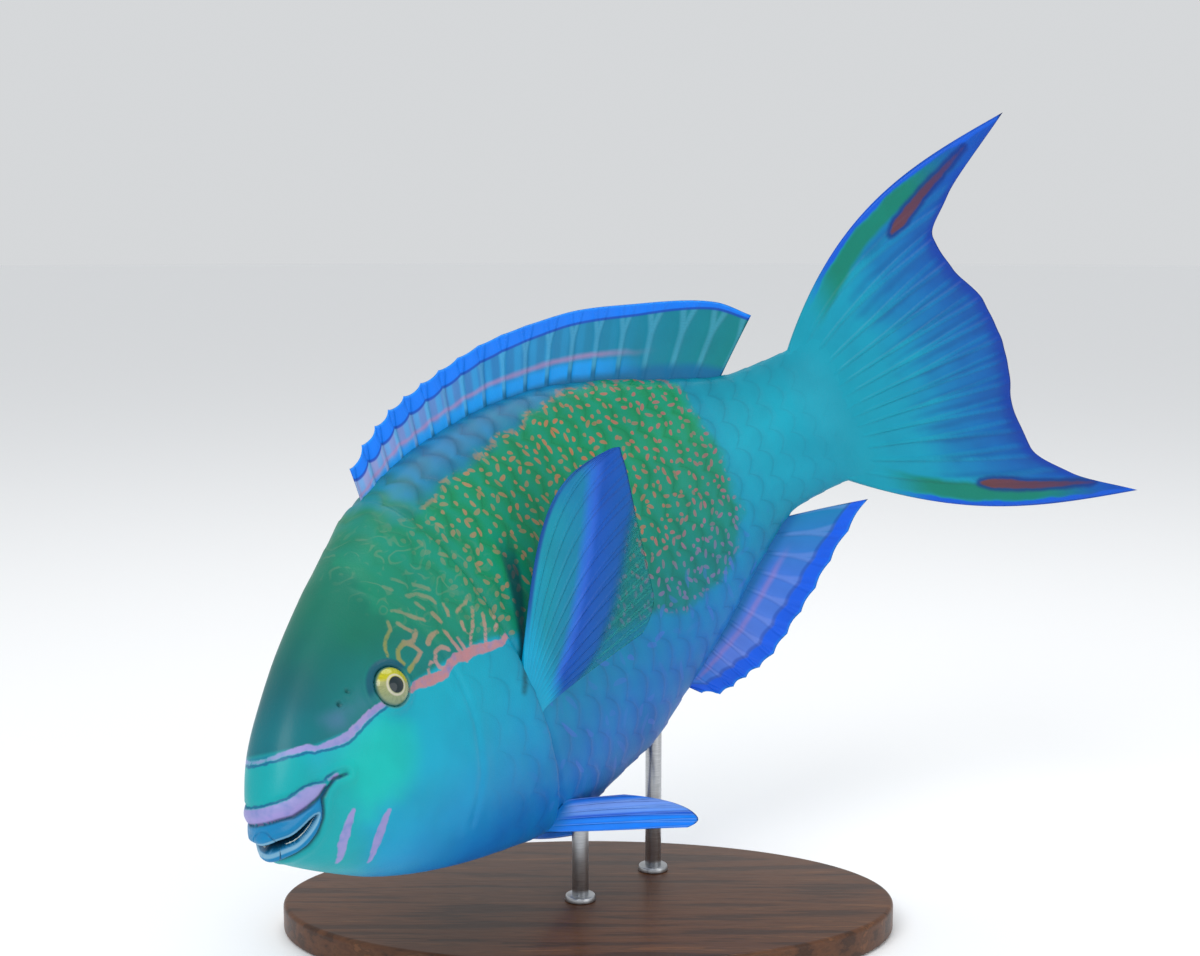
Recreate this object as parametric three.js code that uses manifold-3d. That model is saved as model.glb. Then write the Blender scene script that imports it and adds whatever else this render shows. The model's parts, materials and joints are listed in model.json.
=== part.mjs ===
// A life-size museum model of a large terminal male parrotfish, nosing down and turning to its left,
// held by two rods over a flat oval base. Millimetres, +Z up, origin at the centre of the base's underside.
//
// The fish is drawn first on its own straight axes, then bent along its spine and turned into the pose:
// x runs from the snout to the tail, y to the fish's right side (so its left flank is at -y), z to the back.

import * as THREE from "three";
import { mergeVertices } from "three/addons/utils/BufferGeometryUtils.js";
import Module from "manifold-3d";

const wasm = await Module();
wasm.setup();

// Driving dimensions
const bodyLength = 450; // snout to the root of the tail fin
const seam = 0.3; // gap kept between pieces that touch
const gillEdge = 0.335; // where the gill cover ends, as a share of bodyLength
const gillBulge = 0.022; // how far the gill cover bows backwards at mid height
const gillStep = 2.2; // how far the gill cover stands over the body behind it
const stalkStart = 0.87; // where the tail stalk begins
const stalkEnd = 1.0; // where the tail fin's rays begin
const bodySides = 36; // facets round the body

// Pose: the bend of the spine, and how the head is turned
const bendAngle = 0.997; // radians turned to the left between the two shares below
const bendStart = 0.296;
const bendEnd = 1.107;
const droop = 0.04; // radians that the tail hangs below the line of the head
const twist = -0.063; // radians that the tail is rolled, against the head
const headPitch = 19.5; // degrees nose down
const headYaw = 61.3; // degrees turned from a side view towards the viewer
const headRoll = -18.3; // degrees leaned to one side
const snoutPlace = new THREE.Vector3(-140, -180, 106); // of the tip of the snout

// Eyes, mouth and nostrils
const eyePlace = { x: 0.181, height: 0.06 };
const eyeRadius = 8.4; // of the part of the eye that shows
const eyeDepth = 5.4;
const eyeSink = 1.3; // how far the middle of the eyeball lies under the skin
const rimRadius = 1.9; // of the soft ring round the eye
const mouthLength = 24;
const mouthRise = 0.22; // how steeply the mouth's line climbs towards its corner
const mouthGap = 4.2; // between the jaws at the front
const lipRadius = 4.2;
const lipWall = 2.4; // thickness of the lips in front of the beak
const beakHeight = 8.5;
const beakDepth = 22;

// Display stand
const baseLength = 330;
const baseWidth = 184;
const baseHeight = 16;
const baseBevel = 2.5;
const rodRadius = 4.5;
const frontRod = 0.44; // where each rod meets the belly, as a share of bodyLength
const rearRod = 0.595;
const rodSink = 12; // how far a rod is drawn under the skin before it is cut clear

// The profile: station, height of the back, height of the belly, half width, all as shares of bodyLength
const profile = [
  { x: 0, back: 0.013, belly: -0.012, half: 0.01 },
  { x: 0.01, back: 0.037, belly: -0.027, half: 0.026 },
  { x: 0.03, back: 0.062, belly: -0.048, half: 0.041 },
  { x: 0.06, back: 0.09, belly: -0.076, half: 0.053 },
  { x: 0.1, back: 0.116, belly: -0.11, half: 0.062 },
  { x: 0.16, back: 0.148, belly: -0.149, half: 0.072 },
  { x: 0.24, back: 0.181, belly: -0.19, half: 0.079 },
  { x: 0.34, back: 0.212, belly: -0.23, half: 0.083 },
  { x: 0.44, back: 0.222, belly: -0.252, half: 0.083 },
  { x: 0.54, back: 0.218, belly: -0.252, half: 0.078 },
  { x: 0.64, back: 0.204, belly: -0.225, half: 0.067 },
  { x: 0.74, back: 0.169, belly: -0.18, half: 0.052 },
  { x: 0.82, back: 0.13, belly: -0.13, half: 0.039 },
  { x: 0.9, back: 0.102, belly: -0.089, half: 0.027 },
  { x: 0.96, back: 0.1, belly: -0.086, half: 0.019 },
  { x: 1, back: 0.108, belly: -0.096, half: 0.013 },
  { x: 1.05, back: 0.118, belly: -0.106, half: 0.006 },
];

// A smooth curve of one value against another through a table's rows, which never overshoots between them
function curveOf(table, against, key) {
  const xs = table.map((row) => row[against]);
  const ys = table.map((row) => row[key]);
  const slope = xs.slice(1).map((x, i) => (ys[i + 1] - ys[i]) / (x - xs[i]));
  const tangent = ys.map((_, i) => {
    if (i === 0) return slope[0];
    if (i === ys.length - 1) return slope[i - 1];
    const [before, after] = [slope[i - 1], slope[i]];
    return before * after <= 0 ? 0 : (2 * before * after) / (before + after);
  });
  return (x) => {
    let i = xs.findIndex((s) => s > x) - 1;
    if (i < 0) i = x < xs[0] ? 0 : xs.length - 2;
    const span = xs[i + 1] - xs[i];
    const t = Math.min(1, Math.max(0, (x - xs[i]) / span));
    const [a, b] = [t * t * (3 - 2 * t), t * (1 - t)];
    return ys[i] * (1 - a) + ys[i + 1] * a + span * b * (tangent[i] * (1 - t) - tangent[i + 1] * t);
  };
}
const back = curveOf(profile, "x", "back");
const belly = curveOf(profile, "x", "belly");
const half = curveOf(profile, "x", "half");

const clamp01 = (t) => Math.min(1, Math.max(0, t));
const smooth = (t) => clamp01(t) ** 2 * (3 - 2 * clamp01(t));
const lerp = (a, b, t) => a + (b - a) * t;

// The spine, walked in small steps: place and heading at any share x of bodyLength
const spineStep = 0.005;
const spineReach = 1.5;
const spineWalk = [{ place: new THREE.Vector2(0, 0), drop: 0, heading: 0 }];
const aftShare = (x) => smooth((x - 0.25) / 0.6);
for (let x = spineStep; x <= spineReach; x += spineStep) {
  const last = spineWalk[spineWalk.length - 1];
  const heading = -bendAngle * smooth((x - bendStart) / (bendEnd - bendStart));
  const middle = (heading + last.heading) / 2;
  const stride = bodyLength * spineStep;
  const place = last.place.clone().add(new THREE.Vector2(Math.cos(middle), Math.sin(middle)).multiplyScalar(stride));
  spineWalk.push({ place, drop: last.drop + stride * droop * aftShare(x), heading });
}

// Straight fish coordinates (mm) to bent ones
function bend(point) {
  const share = point.x / bodyLength;
  if (share <= 0) return point.clone();
  const i = Math.min(spineWalk.length - 2, Math.floor(share / spineStep));
  const t = share / spineStep - i;
  const place = spineWalk[i].place.clone().lerp(spineWalk[i + 1].place, t);
  const heading = lerp(spineWalk[i].heading, spineWalk[i + 1].heading, t);
  const drop = lerp(spineWalk[i].drop, spineWalk[i + 1].drop, t);
  const roll = twist * aftShare(share);
  const side = point.y * Math.cos(roll) - point.z * Math.sin(roll);
  const height = point.z * Math.cos(roll) + point.y * Math.sin(roll) - drop;
  const [c, s] = [Math.cos(heading), Math.sin(heading)];
  return new THREE.Vector3(place.x - s * side, place.y + c * side, height);
}

// A point of the straight body's surface: angle 0 is its right flank, a quarter turn its back
function bodyPoint(x, angle, lift = 0) {
  const share = Math.max(0, x / bodyLength);
  const top = back(share) * bodyLength;
  const bottom = belly(share) * bodyLength;
  const middle = (top + bottom) / 2;
  const [w, h] = [half(share) * bodyLength, (top - bottom) / 2];
  const [c, s] = [Math.cos(angle), Math.sin(angle)];
  const y = w * Math.sign(c) * Math.abs(c) ** 0.88;
  const z = h * Math.sign(s) * Math.abs(s) ** 1.04;
  const out = new THREE.Vector2(c / w, s / h).normalize().multiplyScalar(lift);
  return new THREE.Vector3(x, y + out.x, middle + z + out.y);
}

// The angle on the body's section at station x where the surface has height z; side is -1 for left
function angleAt(x, z, side) {
  const [top, bottom] = [back(x / bodyLength) * bodyLength, belly(x / bodyLength) * bodyLength];
  const level = (z - (top + bottom) / 2) / ((top - bottom) / 2);
  const rise = Math.asin(Math.sign(level) * Math.min(1, Math.abs(level)) ** (1 / 1.04));
  return side < 0 ? Math.PI - rise : rise;
}
const surfaceAt = (x, z, side, lift = 0) => bodyPoint(x, angleAt(x, z, side), lift);

// A closed surface through rings of equal count, with a fan over each end
function loft(rings) {
  const count = rings[0].length;
  const points = rings.flat();
  const faces = [];
  for (let i = 0; i < rings.length - 1; i++) {
    for (let j = 0; j < count; j++) {
      const [a, b] = [i * count + j, i * count + ((j + 1) % count)];
      const [c, d] = [a + count, b + count];
      faces.push([a, b, d], [a, d, c]);
    }
  }
  for (const [ring, first] of [[rings[0], 0], [rings[rings.length - 1], points.length - count]]) {
    const centre = ring.reduce((sum, p) => sum.add(p), new THREE.Vector3()).divideScalar(count);
    points.push(centre);
    for (let j = 0; j < count; j++) {
      const [a, b] = [first + j, first + ((j + 1) % count)];
      faces.push(first === 0 ? [points.length - 1, b, a] : [points.length - 1, a, b]);
    }
  }
  return { points, faces };
}

// Solids
function solid({ points, faces }) {
  const geometry = new THREE.BufferGeometry().setFromPoints(faces.flat().map((i) => points[i]));
  return solidOf(geometry);
}
function solidOf(geometry) {
  const bare = geometry.clone();
  bare.deleteAttribute("normal");
  bare.deleteAttribute("uv");
  const merged = mergeVertices(bare, 1e-4);
  const made = new wasm.Manifold(
    new wasm.Mesh({
      numProp: 3,
      vertProperties: new Float32Array(merged.attributes.position.array),
      triVerts: new Uint32Array(merged.index.array),
    }),
  );
  if (made.volume() > 0) return made;
  const flipped = new Uint32Array(merged.index.array).map((_, i, all) => all[i - (i % 3) + [0, 2, 1][i % 3]]);
  return new wasm.Manifold(
    new wasm.Mesh({
      numProp: 3,
      vertProperties: new Float32Array(merged.attributes.position.array),
      triVerts: flipped,
    }),
  );
}
function largest(shape) {
  const bodies = shape.decompose();
  bodies.sort((a, b) => b.volume() - a.volume());
  return bodies[0];
}
function geometryOf(shape) {
  const mesh = shape.getMesh();
  const geometry = new THREE.BufferGeometry();
  geometry.setAttribute("position", new THREE.BufferAttribute(new Float32Array(mesh.vertProperties), 3));
  geometry.setIndex(new THREE.BufferAttribute(new Uint32Array(mesh.triVerts), 1));
  geometry.computeVertexNormals();
  return geometry;
}

// The station of the gill cover's edge at each angle round the body
const gillStation = (angle) => bodyLength * (gillEdge + gillBulge * Math.cos(angle) ** 2);

// A stretch of the bent body between two edges, each a station for every angle
function bodyStretch(from, to, rows, grow, ease = 1) {
  const rings = [];
  for (let i = 0; i <= rows; i++) {
    const t = (i / rows) ** ease;
    const ring = [];
    for (let j = 0; j < bodySides; j++) {
      const angle = (j / bodySides) * 2 * Math.PI;
      const x = lerp(from(angle), to(angle), t);
      ring.push(bend(bodyPoint(x, angle, grow(x, angle))));
    }
    rings.push(ring);
  }
  return solid(loft(rings));
}
const station = (share) => () => share * bodyLength;

// Head
const headSnout = () => 0.6;
function headLift(x, angle) {
  const nearEdge = smooth((x / gillStation(angle) - 0.86) / 0.13);
  return gillStep * nearEdge * Math.abs(Math.cos(angle)) ** 0.7;
}
const headForm = (grow) =>
  bodyStretch(headSnout, (a) => gillStation(a) + 2 * grow, 22, (x, angle) => headLift(x, angle) + grow, 1.5);
const torsoForm = (grow) =>
  bodyStretch((a) => gillStation(a) + seam, station(stalkStart), 16, () => grow);
const stalkForm = (grow) =>
  bodyStretch((a) => stalkStart * bodyLength + seam, station(stalkEnd), 5, () => grow);

// A tube of changing radius along a path of points
function tube(path, radius, sides) {
  const curve = new THREE.CatmullRomCurve3(path);
  const frames = curve.computeFrenetFrames(path.length - 1, false);
  const rings = path.map((_, i) => {
    const t = i / (path.length - 1);
    const centre = curve.getPointAt(t);
    return Array.from({ length: sides }, (_, j) => {
      const a = (j / sides) * 2 * Math.PI;
      return centre
        .clone()
        .addScaledVector(frames.normals[i], radius(t) * Math.cos(a))
        .addScaledVector(frames.binormals[i], radius(t) * Math.sin(a));
    });
  });
  return solid(loft(rings));
}

// Lips: a roll round the front of each jaw from one corner of the mouth to the other
const lipFront = 3.4; // station of the middle of the lips
const lipSteps = 22;
const gapAt = (x) => mouthGap * (1 - smooth(x / mouthLength)) + 0.9;
function lip(up) {
  const path = Array.from({ length: lipSteps + 1 }, (_, i) => {
    const t = (2 * i) / lipSteps - 1;
    const x = lipFront + (mouthLength - lipFront) * Math.abs(t) ** 1.9;
    const z = mouthRise * x + up * (gapAt(x) / 2 + lipRadius * 0.62 * (1 - 0.4 * Math.abs(t)));
    return surfaceAt(x, z, t < 0 ? -1 : 1, -1.5);
  });
  return tube(path, (t) => lipRadius * (0.45 + 0.55 * Math.sin(Math.PI * clamp01(t)) ** 0.6), 7);
}

// A block that spans the head along the mouth's line, from in front of the snout to a depth
function slab(toX, fromZ, toZ) {
  const fromX = -5;
  const box = new THREE.BoxGeometry(toX - fromX, 120, toZ - fromZ);
  box.translate((fromX + toX) / 2, 0, (fromZ + toZ) / 2);
  box.rotateY(-Math.atan(mouthRise));
  return solidOf(box);
}

// The mouth's opening: a thin wedge, widest at the front, closed at the corners
function mouthWedge() {
  const outline = new THREE.Shape();
  const steps = 8;
  const front = -12;
  const edge = (x, up) => outline.lineTo(x, mouthRise * x + (up * gapAt(x)) / 2);
  outline.moveTo(front, mouthRise * front + gapAt(0) / 2);
  for (let i = 0; i <= steps; i++) edge((mouthLength * i) / steps, 1);
  for (let i = steps; i >= 0; i--) edge((mouthLength * i) / steps, -1);
  edge(front, -1);
  const wedge = new THREE.ExtrudeGeometry(outline, { depth: 120, bevelEnabled: false });
  wedge.rotateX(Math.PI / 2);
  wedge.translate(0, 60, 0);
  return solidOf(wedge);
}

// The hollow behind the lips, and the two halves of the beak that stand in it
const innerForm = (wall) => bodyStretch(() => wall + 1.2, station(0.16), 14, () => -wall, 1.4);
const beakHollow = () => innerForm(lipWall).intersect(slab(beakDepth, -beakHeight, beakHeight));
function beak(up) {
  const inset = lipWall + seam;
  const [low, high] = [mouthGap * 0.22, beakHeight - seam];
  const region = up > 0 ? slab(beakDepth - seam, low, high) : slab(beakDepth - seam, -high, -low);
  return largest(innerForm(inset).intersect(region));
}

// Eyes
function eyeFrame(side) {
  const x = eyePlace.x * bodyLength;
  const z = eyePlace.height * bodyLength;
  const here = surfaceAt(x, z, side);
  const ahead = surfaceAt(x + 2, z, side).sub(here);
  const above = surfaceAt(x, z + 2, side).sub(here);
  const out = ahead.cross(above).normalize();
  if (out.y * side < 0) out.negate();
  return { here, out };
}
function eyeBall(side, grow) {
  const { here, out } = eyeFrame(side);
  const ball = new THREE.SphereGeometry(1, 18, 9);
  ball.rotateX(Math.PI / 2);
  ball.scale(eyeRadius + grow, eyeRadius + grow, eyeDepth + grow);
  ball.applyQuaternion(new THREE.Quaternion().setFromUnitVectors(new THREE.Vector3(0, 0, 1), out));
  const centre = here.clone().addScaledVector(out, -eyeSink);
  ball.translate(...centre);
  return solidOf(ball);
}
function orbitRim(side) {
  const { here, out } = eyeFrame(side);
  const rim = new THREE.TorusGeometry(eyeRadius + 0.7, rimRadius, 6, 20);
  rim.applyQuaternion(new THREE.Quaternion().setFromUnitVectors(new THREE.Vector3(0, 0, 1), out));
  const centre = here.clone().addScaledVector(out, -rimRadius / 2);
  rim.translate(...centre);
  return solidOf(rim);
}

// Nostrils: two small pits in front of each eye
function nostril(side, x, height, radius) {
  const pit = new THREE.SphereGeometry(radius, 8, 6);
  pit.translate(...surfaceAt(x * bodyLength, height * bodyLength, side, 0.2));
  return solidOf(pit);
}

function headSolid() {
  let head = headForm(0).add(lip(1)).add(lip(-1));
  for (const side of [-1, 1]) head = head.add(orbitRim(side));
  head = head.subtract(beakHollow()).subtract(mouthWedge());
  for (const side of [-1, 1]) {
    head = head.subtract(eyeBall(side, seam));
    head = head.subtract(nostril(side, 0.122, 0.079, 1.7)).subtract(nostril(side, 0.138, 0.084, 1.5));
  }
  return largest(head);
}

// Everything that the fins and rods have to stay clear of
const clearance = headForm(seam).add(torsoForm(seam)).add(stalkForm(seam));

// A fin: a thin membrane with a ridge for each ray. path(u, v) is a point of its middle, u from the first
// ray to the last, v from root to edge. Both faces are split alike, so that a curved fin stays sound.
function fin({ rays, rows, path, membrane, ridge }) {
  const columns = [];
  for (let ray = 0; ray < rays; ray++) {
    columns.push({ u: ray / (rays - 1), crest: 1 });
    if (ray < rays - 1) {
      for (const part of [0.3, 0.7]) columns.push({ u: (ray + part) / (rays - 1), crest: 0 });
    }
  }
  const step = 1e-3;
  const sheets = [-1, 1].map((face) =>
    columns.map(({ u, crest }) =>
      Array.from({ length: rows + 1 }, (_, row) => {
        const v = row / rows;
        const here = path(u, v);
        const alongU = path(Math.min(1, u + step), v).sub(path(Math.max(0, u - step), v));
        const alongV = path(u, Math.min(1, v + step)).sub(path(u, Math.max(0, v - step)));
        const out = alongU.cross(alongV).normalize();
        const taper = 1 - 0.55 * v;
        const thick = Math.max(0.55, (membrane + crest * ridge) * taper);
        return here.addScaledVector(out, (face * thick) / 2);
      }),
    ),
  );
  const count = columns.length;
  const points = sheets.flat(2);
  const at = (face, column, row) => face * count * (rows + 1) + column * (rows + 1) + row;
  const faces = [];
  for (let c = 0; c < count - 1; c++) {
    for (let r = 0; r < rows; r++) {
      const quad = [[c, r], [c + 1, r], [c + 1, r + 1], [c, r + 1]];
      const [a, b, d, e] = quad.map(([i, j]) => at(1, i, j));
      const [p, q, s, t] = quad.map(([i, j]) => at(0, i, j));
      faces.push([a, b, d], [a, d, e], [p, s, q], [p, t, s]);
    }
  }
  const wall = (c0, r0, c1, r1) => {
    const [a, b, c, d] = [at(1, c0, r0), at(1, c1, r1), at(0, c0, r0), at(0, c1, r1)];
    faces.push([a, c, b], [b, c, d]);
  };
  for (let c = 0; c < count - 1; c++) {
    wall(c, 0, c + 1, 0);
    wall(c + 1, rows, c, rows);
  }
  for (let r = 0; r < rows; r++) {
    wall(0, r + 1, 0, r);
    wall(count - 1, r, count - 1, r + 1);
  }
  return solid({ points, faces });
}
const cutClear = (shape) => largest(shape.subtract(clearance));

// The edge of each middle fin, from its first ray (u = 0) to its last (u = 1), as shares of bodyLength
const dorsalEdge = [
  { u: 0, x: 0.355, z: 0.248 },
  { u: 0.08, x: 0.405, z: 0.265 },
  { u: 0.2, x: 0.472, z: 0.277 },
  { u: 0.42, x: 0.6, z: 0.281 },
  { u: 0.63, x: 0.73, z: 0.265 },
  { u: 0.8, x: 0.826, z: 0.233 },
  { u: 0.93, x: 0.912, z: 0.194 },
  { u: 1, x: 0.945, z: 0.16 },
];
const analEdge = [
  { u: 0, x: 0.66, z: -0.239 },
  { u: 0.12, x: 0.69, z: -0.256 },
  { u: 0.38, x: 0.755, z: -0.252 },
  { u: 0.64, x: 0.838, z: -0.214 },
  { u: 0.85, x: 0.915, z: -0.163 },
  { u: 1, x: 0.981, z: -0.118 },
];
const tailEdge = [
  { u: 0, x: 1.301, z: -0.248 },
  { u: 0.07, x: 1.232, z: -0.192 },
  { u: 0.15, x: 1.198, z: -0.14 },
  { u: 0.25, x: 1.197, z: -0.09 },
  { u: 0.38, x: 1.212, z: -0.035 },
  { u: 0.5, x: 1.219, z: 0.012 },
  { u: 0.62, x: 1.217, z: 0.06 },
  { u: 0.75, x: 1.198, z: 0.112 },
  { u: 0.85, x: 1.191, z: 0.158 },
  { u: 0.93, x: 1.228, z: 0.2 },
  { u: 1, x: 1.33, z: 0.268 },
];
const edgeOf = (table) => [curveOf(table, "u", "x"), curveOf(table, "u", "z")];

// Dorsal fin: nine soft spines and ten rays, its edge scalloped between the spines
const dorsalStart = 0.335;
const dorsalEnd = 0.862;
const dorsalRays = 19;
const scallopDepth = 2.2;
const sink = 9; // how far a root runs under the skin before it is cut clear
const [dorsalX, dorsalZ] = edgeOf(dorsalEdge);
function dorsalPath(u, v) {
  const root = lerp(dorsalStart, dorsalEnd, u);
  const scallop = scallopDepth * (1 - smooth(u * 1.7)) * Math.abs(Math.sin(Math.PI * u * (dorsalRays - 1)));
  const x = lerp(root, dorsalX(u), v) * bodyLength;
  const z = lerp(back(root) * bodyLength - sink, dorsalZ(u) * bodyLength - scallop, v);
  return bend(new THREE.Vector3(x, 2.5 * Math.sin(3 * u + 1) * v * v, z));
}

// Anal fin: three spines and nine rays, the last ones longest
const analStart = 0.637;
const analEnd = 0.852;
const analRays = 12;
const [analX, analZ] = edgeOf(analEdge);
function analPath(u, v) {
  const root = lerp(analStart, analEnd, u);
  const x = lerp(root, analX(u), v) * bodyLength;
  const z = lerp(belly(root) * bodyLength + sink, analZ(u) * bodyLength, v);
  return bend(new THREE.Vector3(x, -3 * v * v, z));
}

// Tail fin: fifteen rays that fan out to a blunt middle and two long horns with bowed leading edges
const tailRays = 15;
const tailRoot = 0.962; // station of the outer rays' roots
const tailInset = 0.03; // how much further back the middle rays start
const tailBow = { top: 0.046, bottom: 0.03 };
const [tailX, tailZ] = edgeOf(tailEdge);
function tailPath(u, v) {
  const across = 2 * u - 1;
  const outer = Math.abs(across);
  const rootX = lerp(tailRoot + tailInset, tailRoot, outer ** 2);
  const rootZ = (across > 0 ? back(rootX) : -belly(rootX)) * across * 0.93;
  const bow = (across > 0 ? tailBow.top : -tailBow.bottom) * outer ** 5 * Math.sin(Math.PI * v ** 0.9);
  const x = lerp(rootX, tailX(u), v) - 0.25 * Math.abs(bow);
  const z = lerp(rootZ, tailZ(u), v) + bow;
  return bend(new THREE.Vector3(x * bodyLength, 0, z * bodyLength));
}

// Paired fins: a fan of rays from a short root line on the body, the leading ones curved by bow
const rootSunk = 5;
function pairedPath({ root, rootEnd, first, last, lengths, cup, bow, side }) {
  return (u, v) => {
    const start = root.clone().lerp(rootEnd, u);
    const direction = first.clone().lerp(last, u).normalize();
    const along = lengths(u) * v;
    const sag = -side * cup * Math.sin(Math.PI * u) * v * v;
    const curved = (1 - u) ** 2 * Math.sin(Math.PI * v);
    const point = start.addScaledVector(direction, along - rootSunk * (1 - v)).addScaledVector(bow, curved);
    return bend(point.add(new THREE.Vector3(0, sag, 0)));
  };
}
const pectoralRays = 14;
const pectoralLength = 147;
const pectoralRounding = 0.12;
const pectoralRear = 0.58;
function pectoral(side) {
  const shortening = (u) => {
    if (u < pectoralRounding) return lerp(0.93, 1, u / pectoralRounding);
    return lerp(1, pectoralRear, ((u - pectoralRounding) / (1 - pectoralRounding)) ** 0.74);
  };
  return fin({
    rays: pectoralRays,
    rows: 4,
    membrane: 0.9,
    ridge: 1.1,
    path: pairedPath({
      root: surfaceAt(0.351 * bodyLength, -0.04 * bodyLength, side, -1),
      rootEnd: surfaceAt(0.368 * bodyLength, -0.085 * bodyLength, side, -1),
      first: new THREE.Vector3(0.7, 0.335 * side, 0.59),
      last: new THREE.Vector3(0.95, 0.376 * side, 0.03),
      lengths: (u) => pectoralLength * shortening(u),
      cup: 8,
      bow: new THREE.Vector3(6.9, 0, 25.8),
      side,
    }),
  });
}
const pelvicRays = 6;
const pelvicLength = 92;
function pelvic(side) {
  return fin({
    rays: pelvicRays,
    rows: 4,
    membrane: 0.9,
    ridge: 1.2,
    path: pairedPath({
      root: surfaceAt(0.33 * bodyLength, -0.222 * bodyLength, side, -1),
      rootEnd: surfaceAt(0.365 * bodyLength, -0.205 * bodyLength, side, -1),
      first: new THREE.Vector3(0.749, 0.404 * side, -0.525),
      last: new THREE.Vector3(0.83, 0.2 * side, -0.5),
      lengths: (u) => pelvicLength * lerp(1, 0.65, u ** 1.2),
      cup: 3,
      bow: new THREE.Vector3(-2, 0, 0),
      side,
    }),
  });
}

// The pose that carries the fish from its own axes to the stand
const pose = new THREE.Matrix4().compose(
  snoutPlace,
  new THREE.Quaternion().setFromEuler(
    new THREE.Euler(
      THREE.MathUtils.degToRad(headRoll),
      THREE.MathUtils.degToRad(-headPitch),
      THREE.MathUtils.degToRad(headYaw),
      "ZYX",
    ),
  ),
  new THREE.Vector3(1, 1, 1),
);

// Stand: an oval base and two upright rods that end on the belly
function standBase() {
  const outline = new THREE.Shape();
  outline.absellipse(0, 0, baseLength / 2, baseWidth / 2, 0, 2 * Math.PI, false, 0);
  const geometry = new THREE.ExtrudeGeometry(outline, {
    depth: baseHeight - 2 * baseBevel,
    bevelThickness: baseBevel,
    bevelSize: baseBevel,
    bevelOffset: -baseBevel,
    bevelSegments: 1,
    curveSegments: 26,
  });
  geometry.translate(0, 0, baseBevel);
  return solidOf(geometry);
}
const posedClearance = clearance.transform(pose.elements);
function rod(share) {
  const x = share * bodyLength;
  const meet = bend(new THREE.Vector3(x, 0, belly(share) * bodyLength + rodSink)).applyMatrix4(pose);
  const bottom = baseHeight + seam;
  const geometry = new THREE.CylinderGeometry(rodRadius, rodRadius, meet.z - bottom, 20);
  geometry.rotateX(Math.PI / 2);
  geometry.translate(meet.x, meet.y, (meet.z + bottom) / 2);
  return largest(solidOf(geometry).subtract(posedClearance));
}

// Materials, as the photograph shows them
const finish = (color, roughness, metalness = 0) => new THREE.MeshStandardMaterial({ color, roughness, metalness });
const materials = {
  skin: finish(0x0a8f9c, 0.45),
  fin: finish(0x1668c4, 0.5),
  eye: finish(0xc9b13a, 0.15),
  beak: finish(0x9fd6cf, 0.35),
  wood: finish(0x3a2618, 0.55),
  steel: finish(0xb9bcc0, 0.3, 1),
};

const model = new THREE.Group();
const fish = new THREE.Group();
fish.applyMatrix4(pose);
model.add(fish);
function place(parent, name, shape, material) {
  const mesh = new THREE.Mesh(geometryOf(shape), material);
  mesh.name = name;
  parent.add(mesh);
}

place(fish, "head", headSolid(), materials.skin);
place(fish, "torso", torsoForm(0), materials.skin);
place(fish, "tail_stalk", stalkForm(0), materials.skin);
place(fish, "beak_upper", beak(1), materials.beak);
place(fish, "beak_lower", beak(-1), materials.beak);
for (const [side, word] of [[-1, "left"], [1, "right"]]) {
  place(fish, "eye_" + word, eyeBall(side, 0), materials.eye);
  place(fish, "fin_pectoral_" + word, cutClear(pectoral(side)), materials.fin);
  place(fish, "fin_pelvic_" + word, cutClear(pelvic(side)), materials.fin);
}
const dorsal = fin({ rays: dorsalRays, rows: 5, path: dorsalPath, membrane: 1, ridge: 1.3 });
place(fish, "fin_dorsal", cutClear(dorsal), materials.fin);
const anal = fin({ rays: analRays, rows: 5, path: analPath, membrane: 1, ridge: 1.3 });
place(fish, "fin_anal", cutClear(anal), materials.fin);
const tail = fin({ rays: tailRays, rows: 6, path: tailPath, membrane: 1.2, ridge: 1.6 });
place(fish, "fin_tail", cutClear(tail), materials.fin);

place(model, "stand_base", standBase(), materials.wood);
place(model, "stand_rod_front", rod(frontRod), materials.steel);
place(model, "stand_rod_rear", rod(rearRod), materials.steel);

export default model;
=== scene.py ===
# A life-size museum model of a terminal male parrotfish, nosing down and bending to its left,
# on two rods over an oval wooden base.
#
# The fish is laid out on straight axes in millimetres (x from snout to tail, y to its right, z to its
# back), then bent along its spine and turned into its pose, as the solids are. Every piece is in metres.

import json
import math
from types import SimpleNamespace

import bmesh
import bpy
import numpy as np
from mathutils import Euler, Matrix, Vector

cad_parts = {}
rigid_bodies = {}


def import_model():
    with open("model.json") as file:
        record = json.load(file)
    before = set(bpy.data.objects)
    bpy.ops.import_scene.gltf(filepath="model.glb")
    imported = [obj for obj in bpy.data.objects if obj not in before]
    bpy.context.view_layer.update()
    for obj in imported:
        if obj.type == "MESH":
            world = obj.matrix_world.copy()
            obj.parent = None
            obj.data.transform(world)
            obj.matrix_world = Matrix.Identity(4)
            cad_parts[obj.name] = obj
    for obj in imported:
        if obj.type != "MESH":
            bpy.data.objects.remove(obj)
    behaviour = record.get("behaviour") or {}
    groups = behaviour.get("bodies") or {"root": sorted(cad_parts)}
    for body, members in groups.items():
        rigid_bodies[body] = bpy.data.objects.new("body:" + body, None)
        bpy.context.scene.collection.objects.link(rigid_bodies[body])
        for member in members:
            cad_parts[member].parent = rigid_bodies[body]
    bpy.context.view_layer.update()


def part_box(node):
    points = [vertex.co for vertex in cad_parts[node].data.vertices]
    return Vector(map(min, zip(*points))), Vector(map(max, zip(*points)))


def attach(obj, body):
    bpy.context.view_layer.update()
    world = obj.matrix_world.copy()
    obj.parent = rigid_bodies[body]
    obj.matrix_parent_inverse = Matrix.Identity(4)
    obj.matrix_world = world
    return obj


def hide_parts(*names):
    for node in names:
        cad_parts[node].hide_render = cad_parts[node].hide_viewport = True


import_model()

# Driving dimensions, the same as the solids have
BODY = 450.0
SNOUT = np.array([-140.0, -180.0, 106.0])
HEAD_PITCH, HEAD_YAW, HEAD_ROLL = 19.5, 61.3, -18.3
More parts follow.
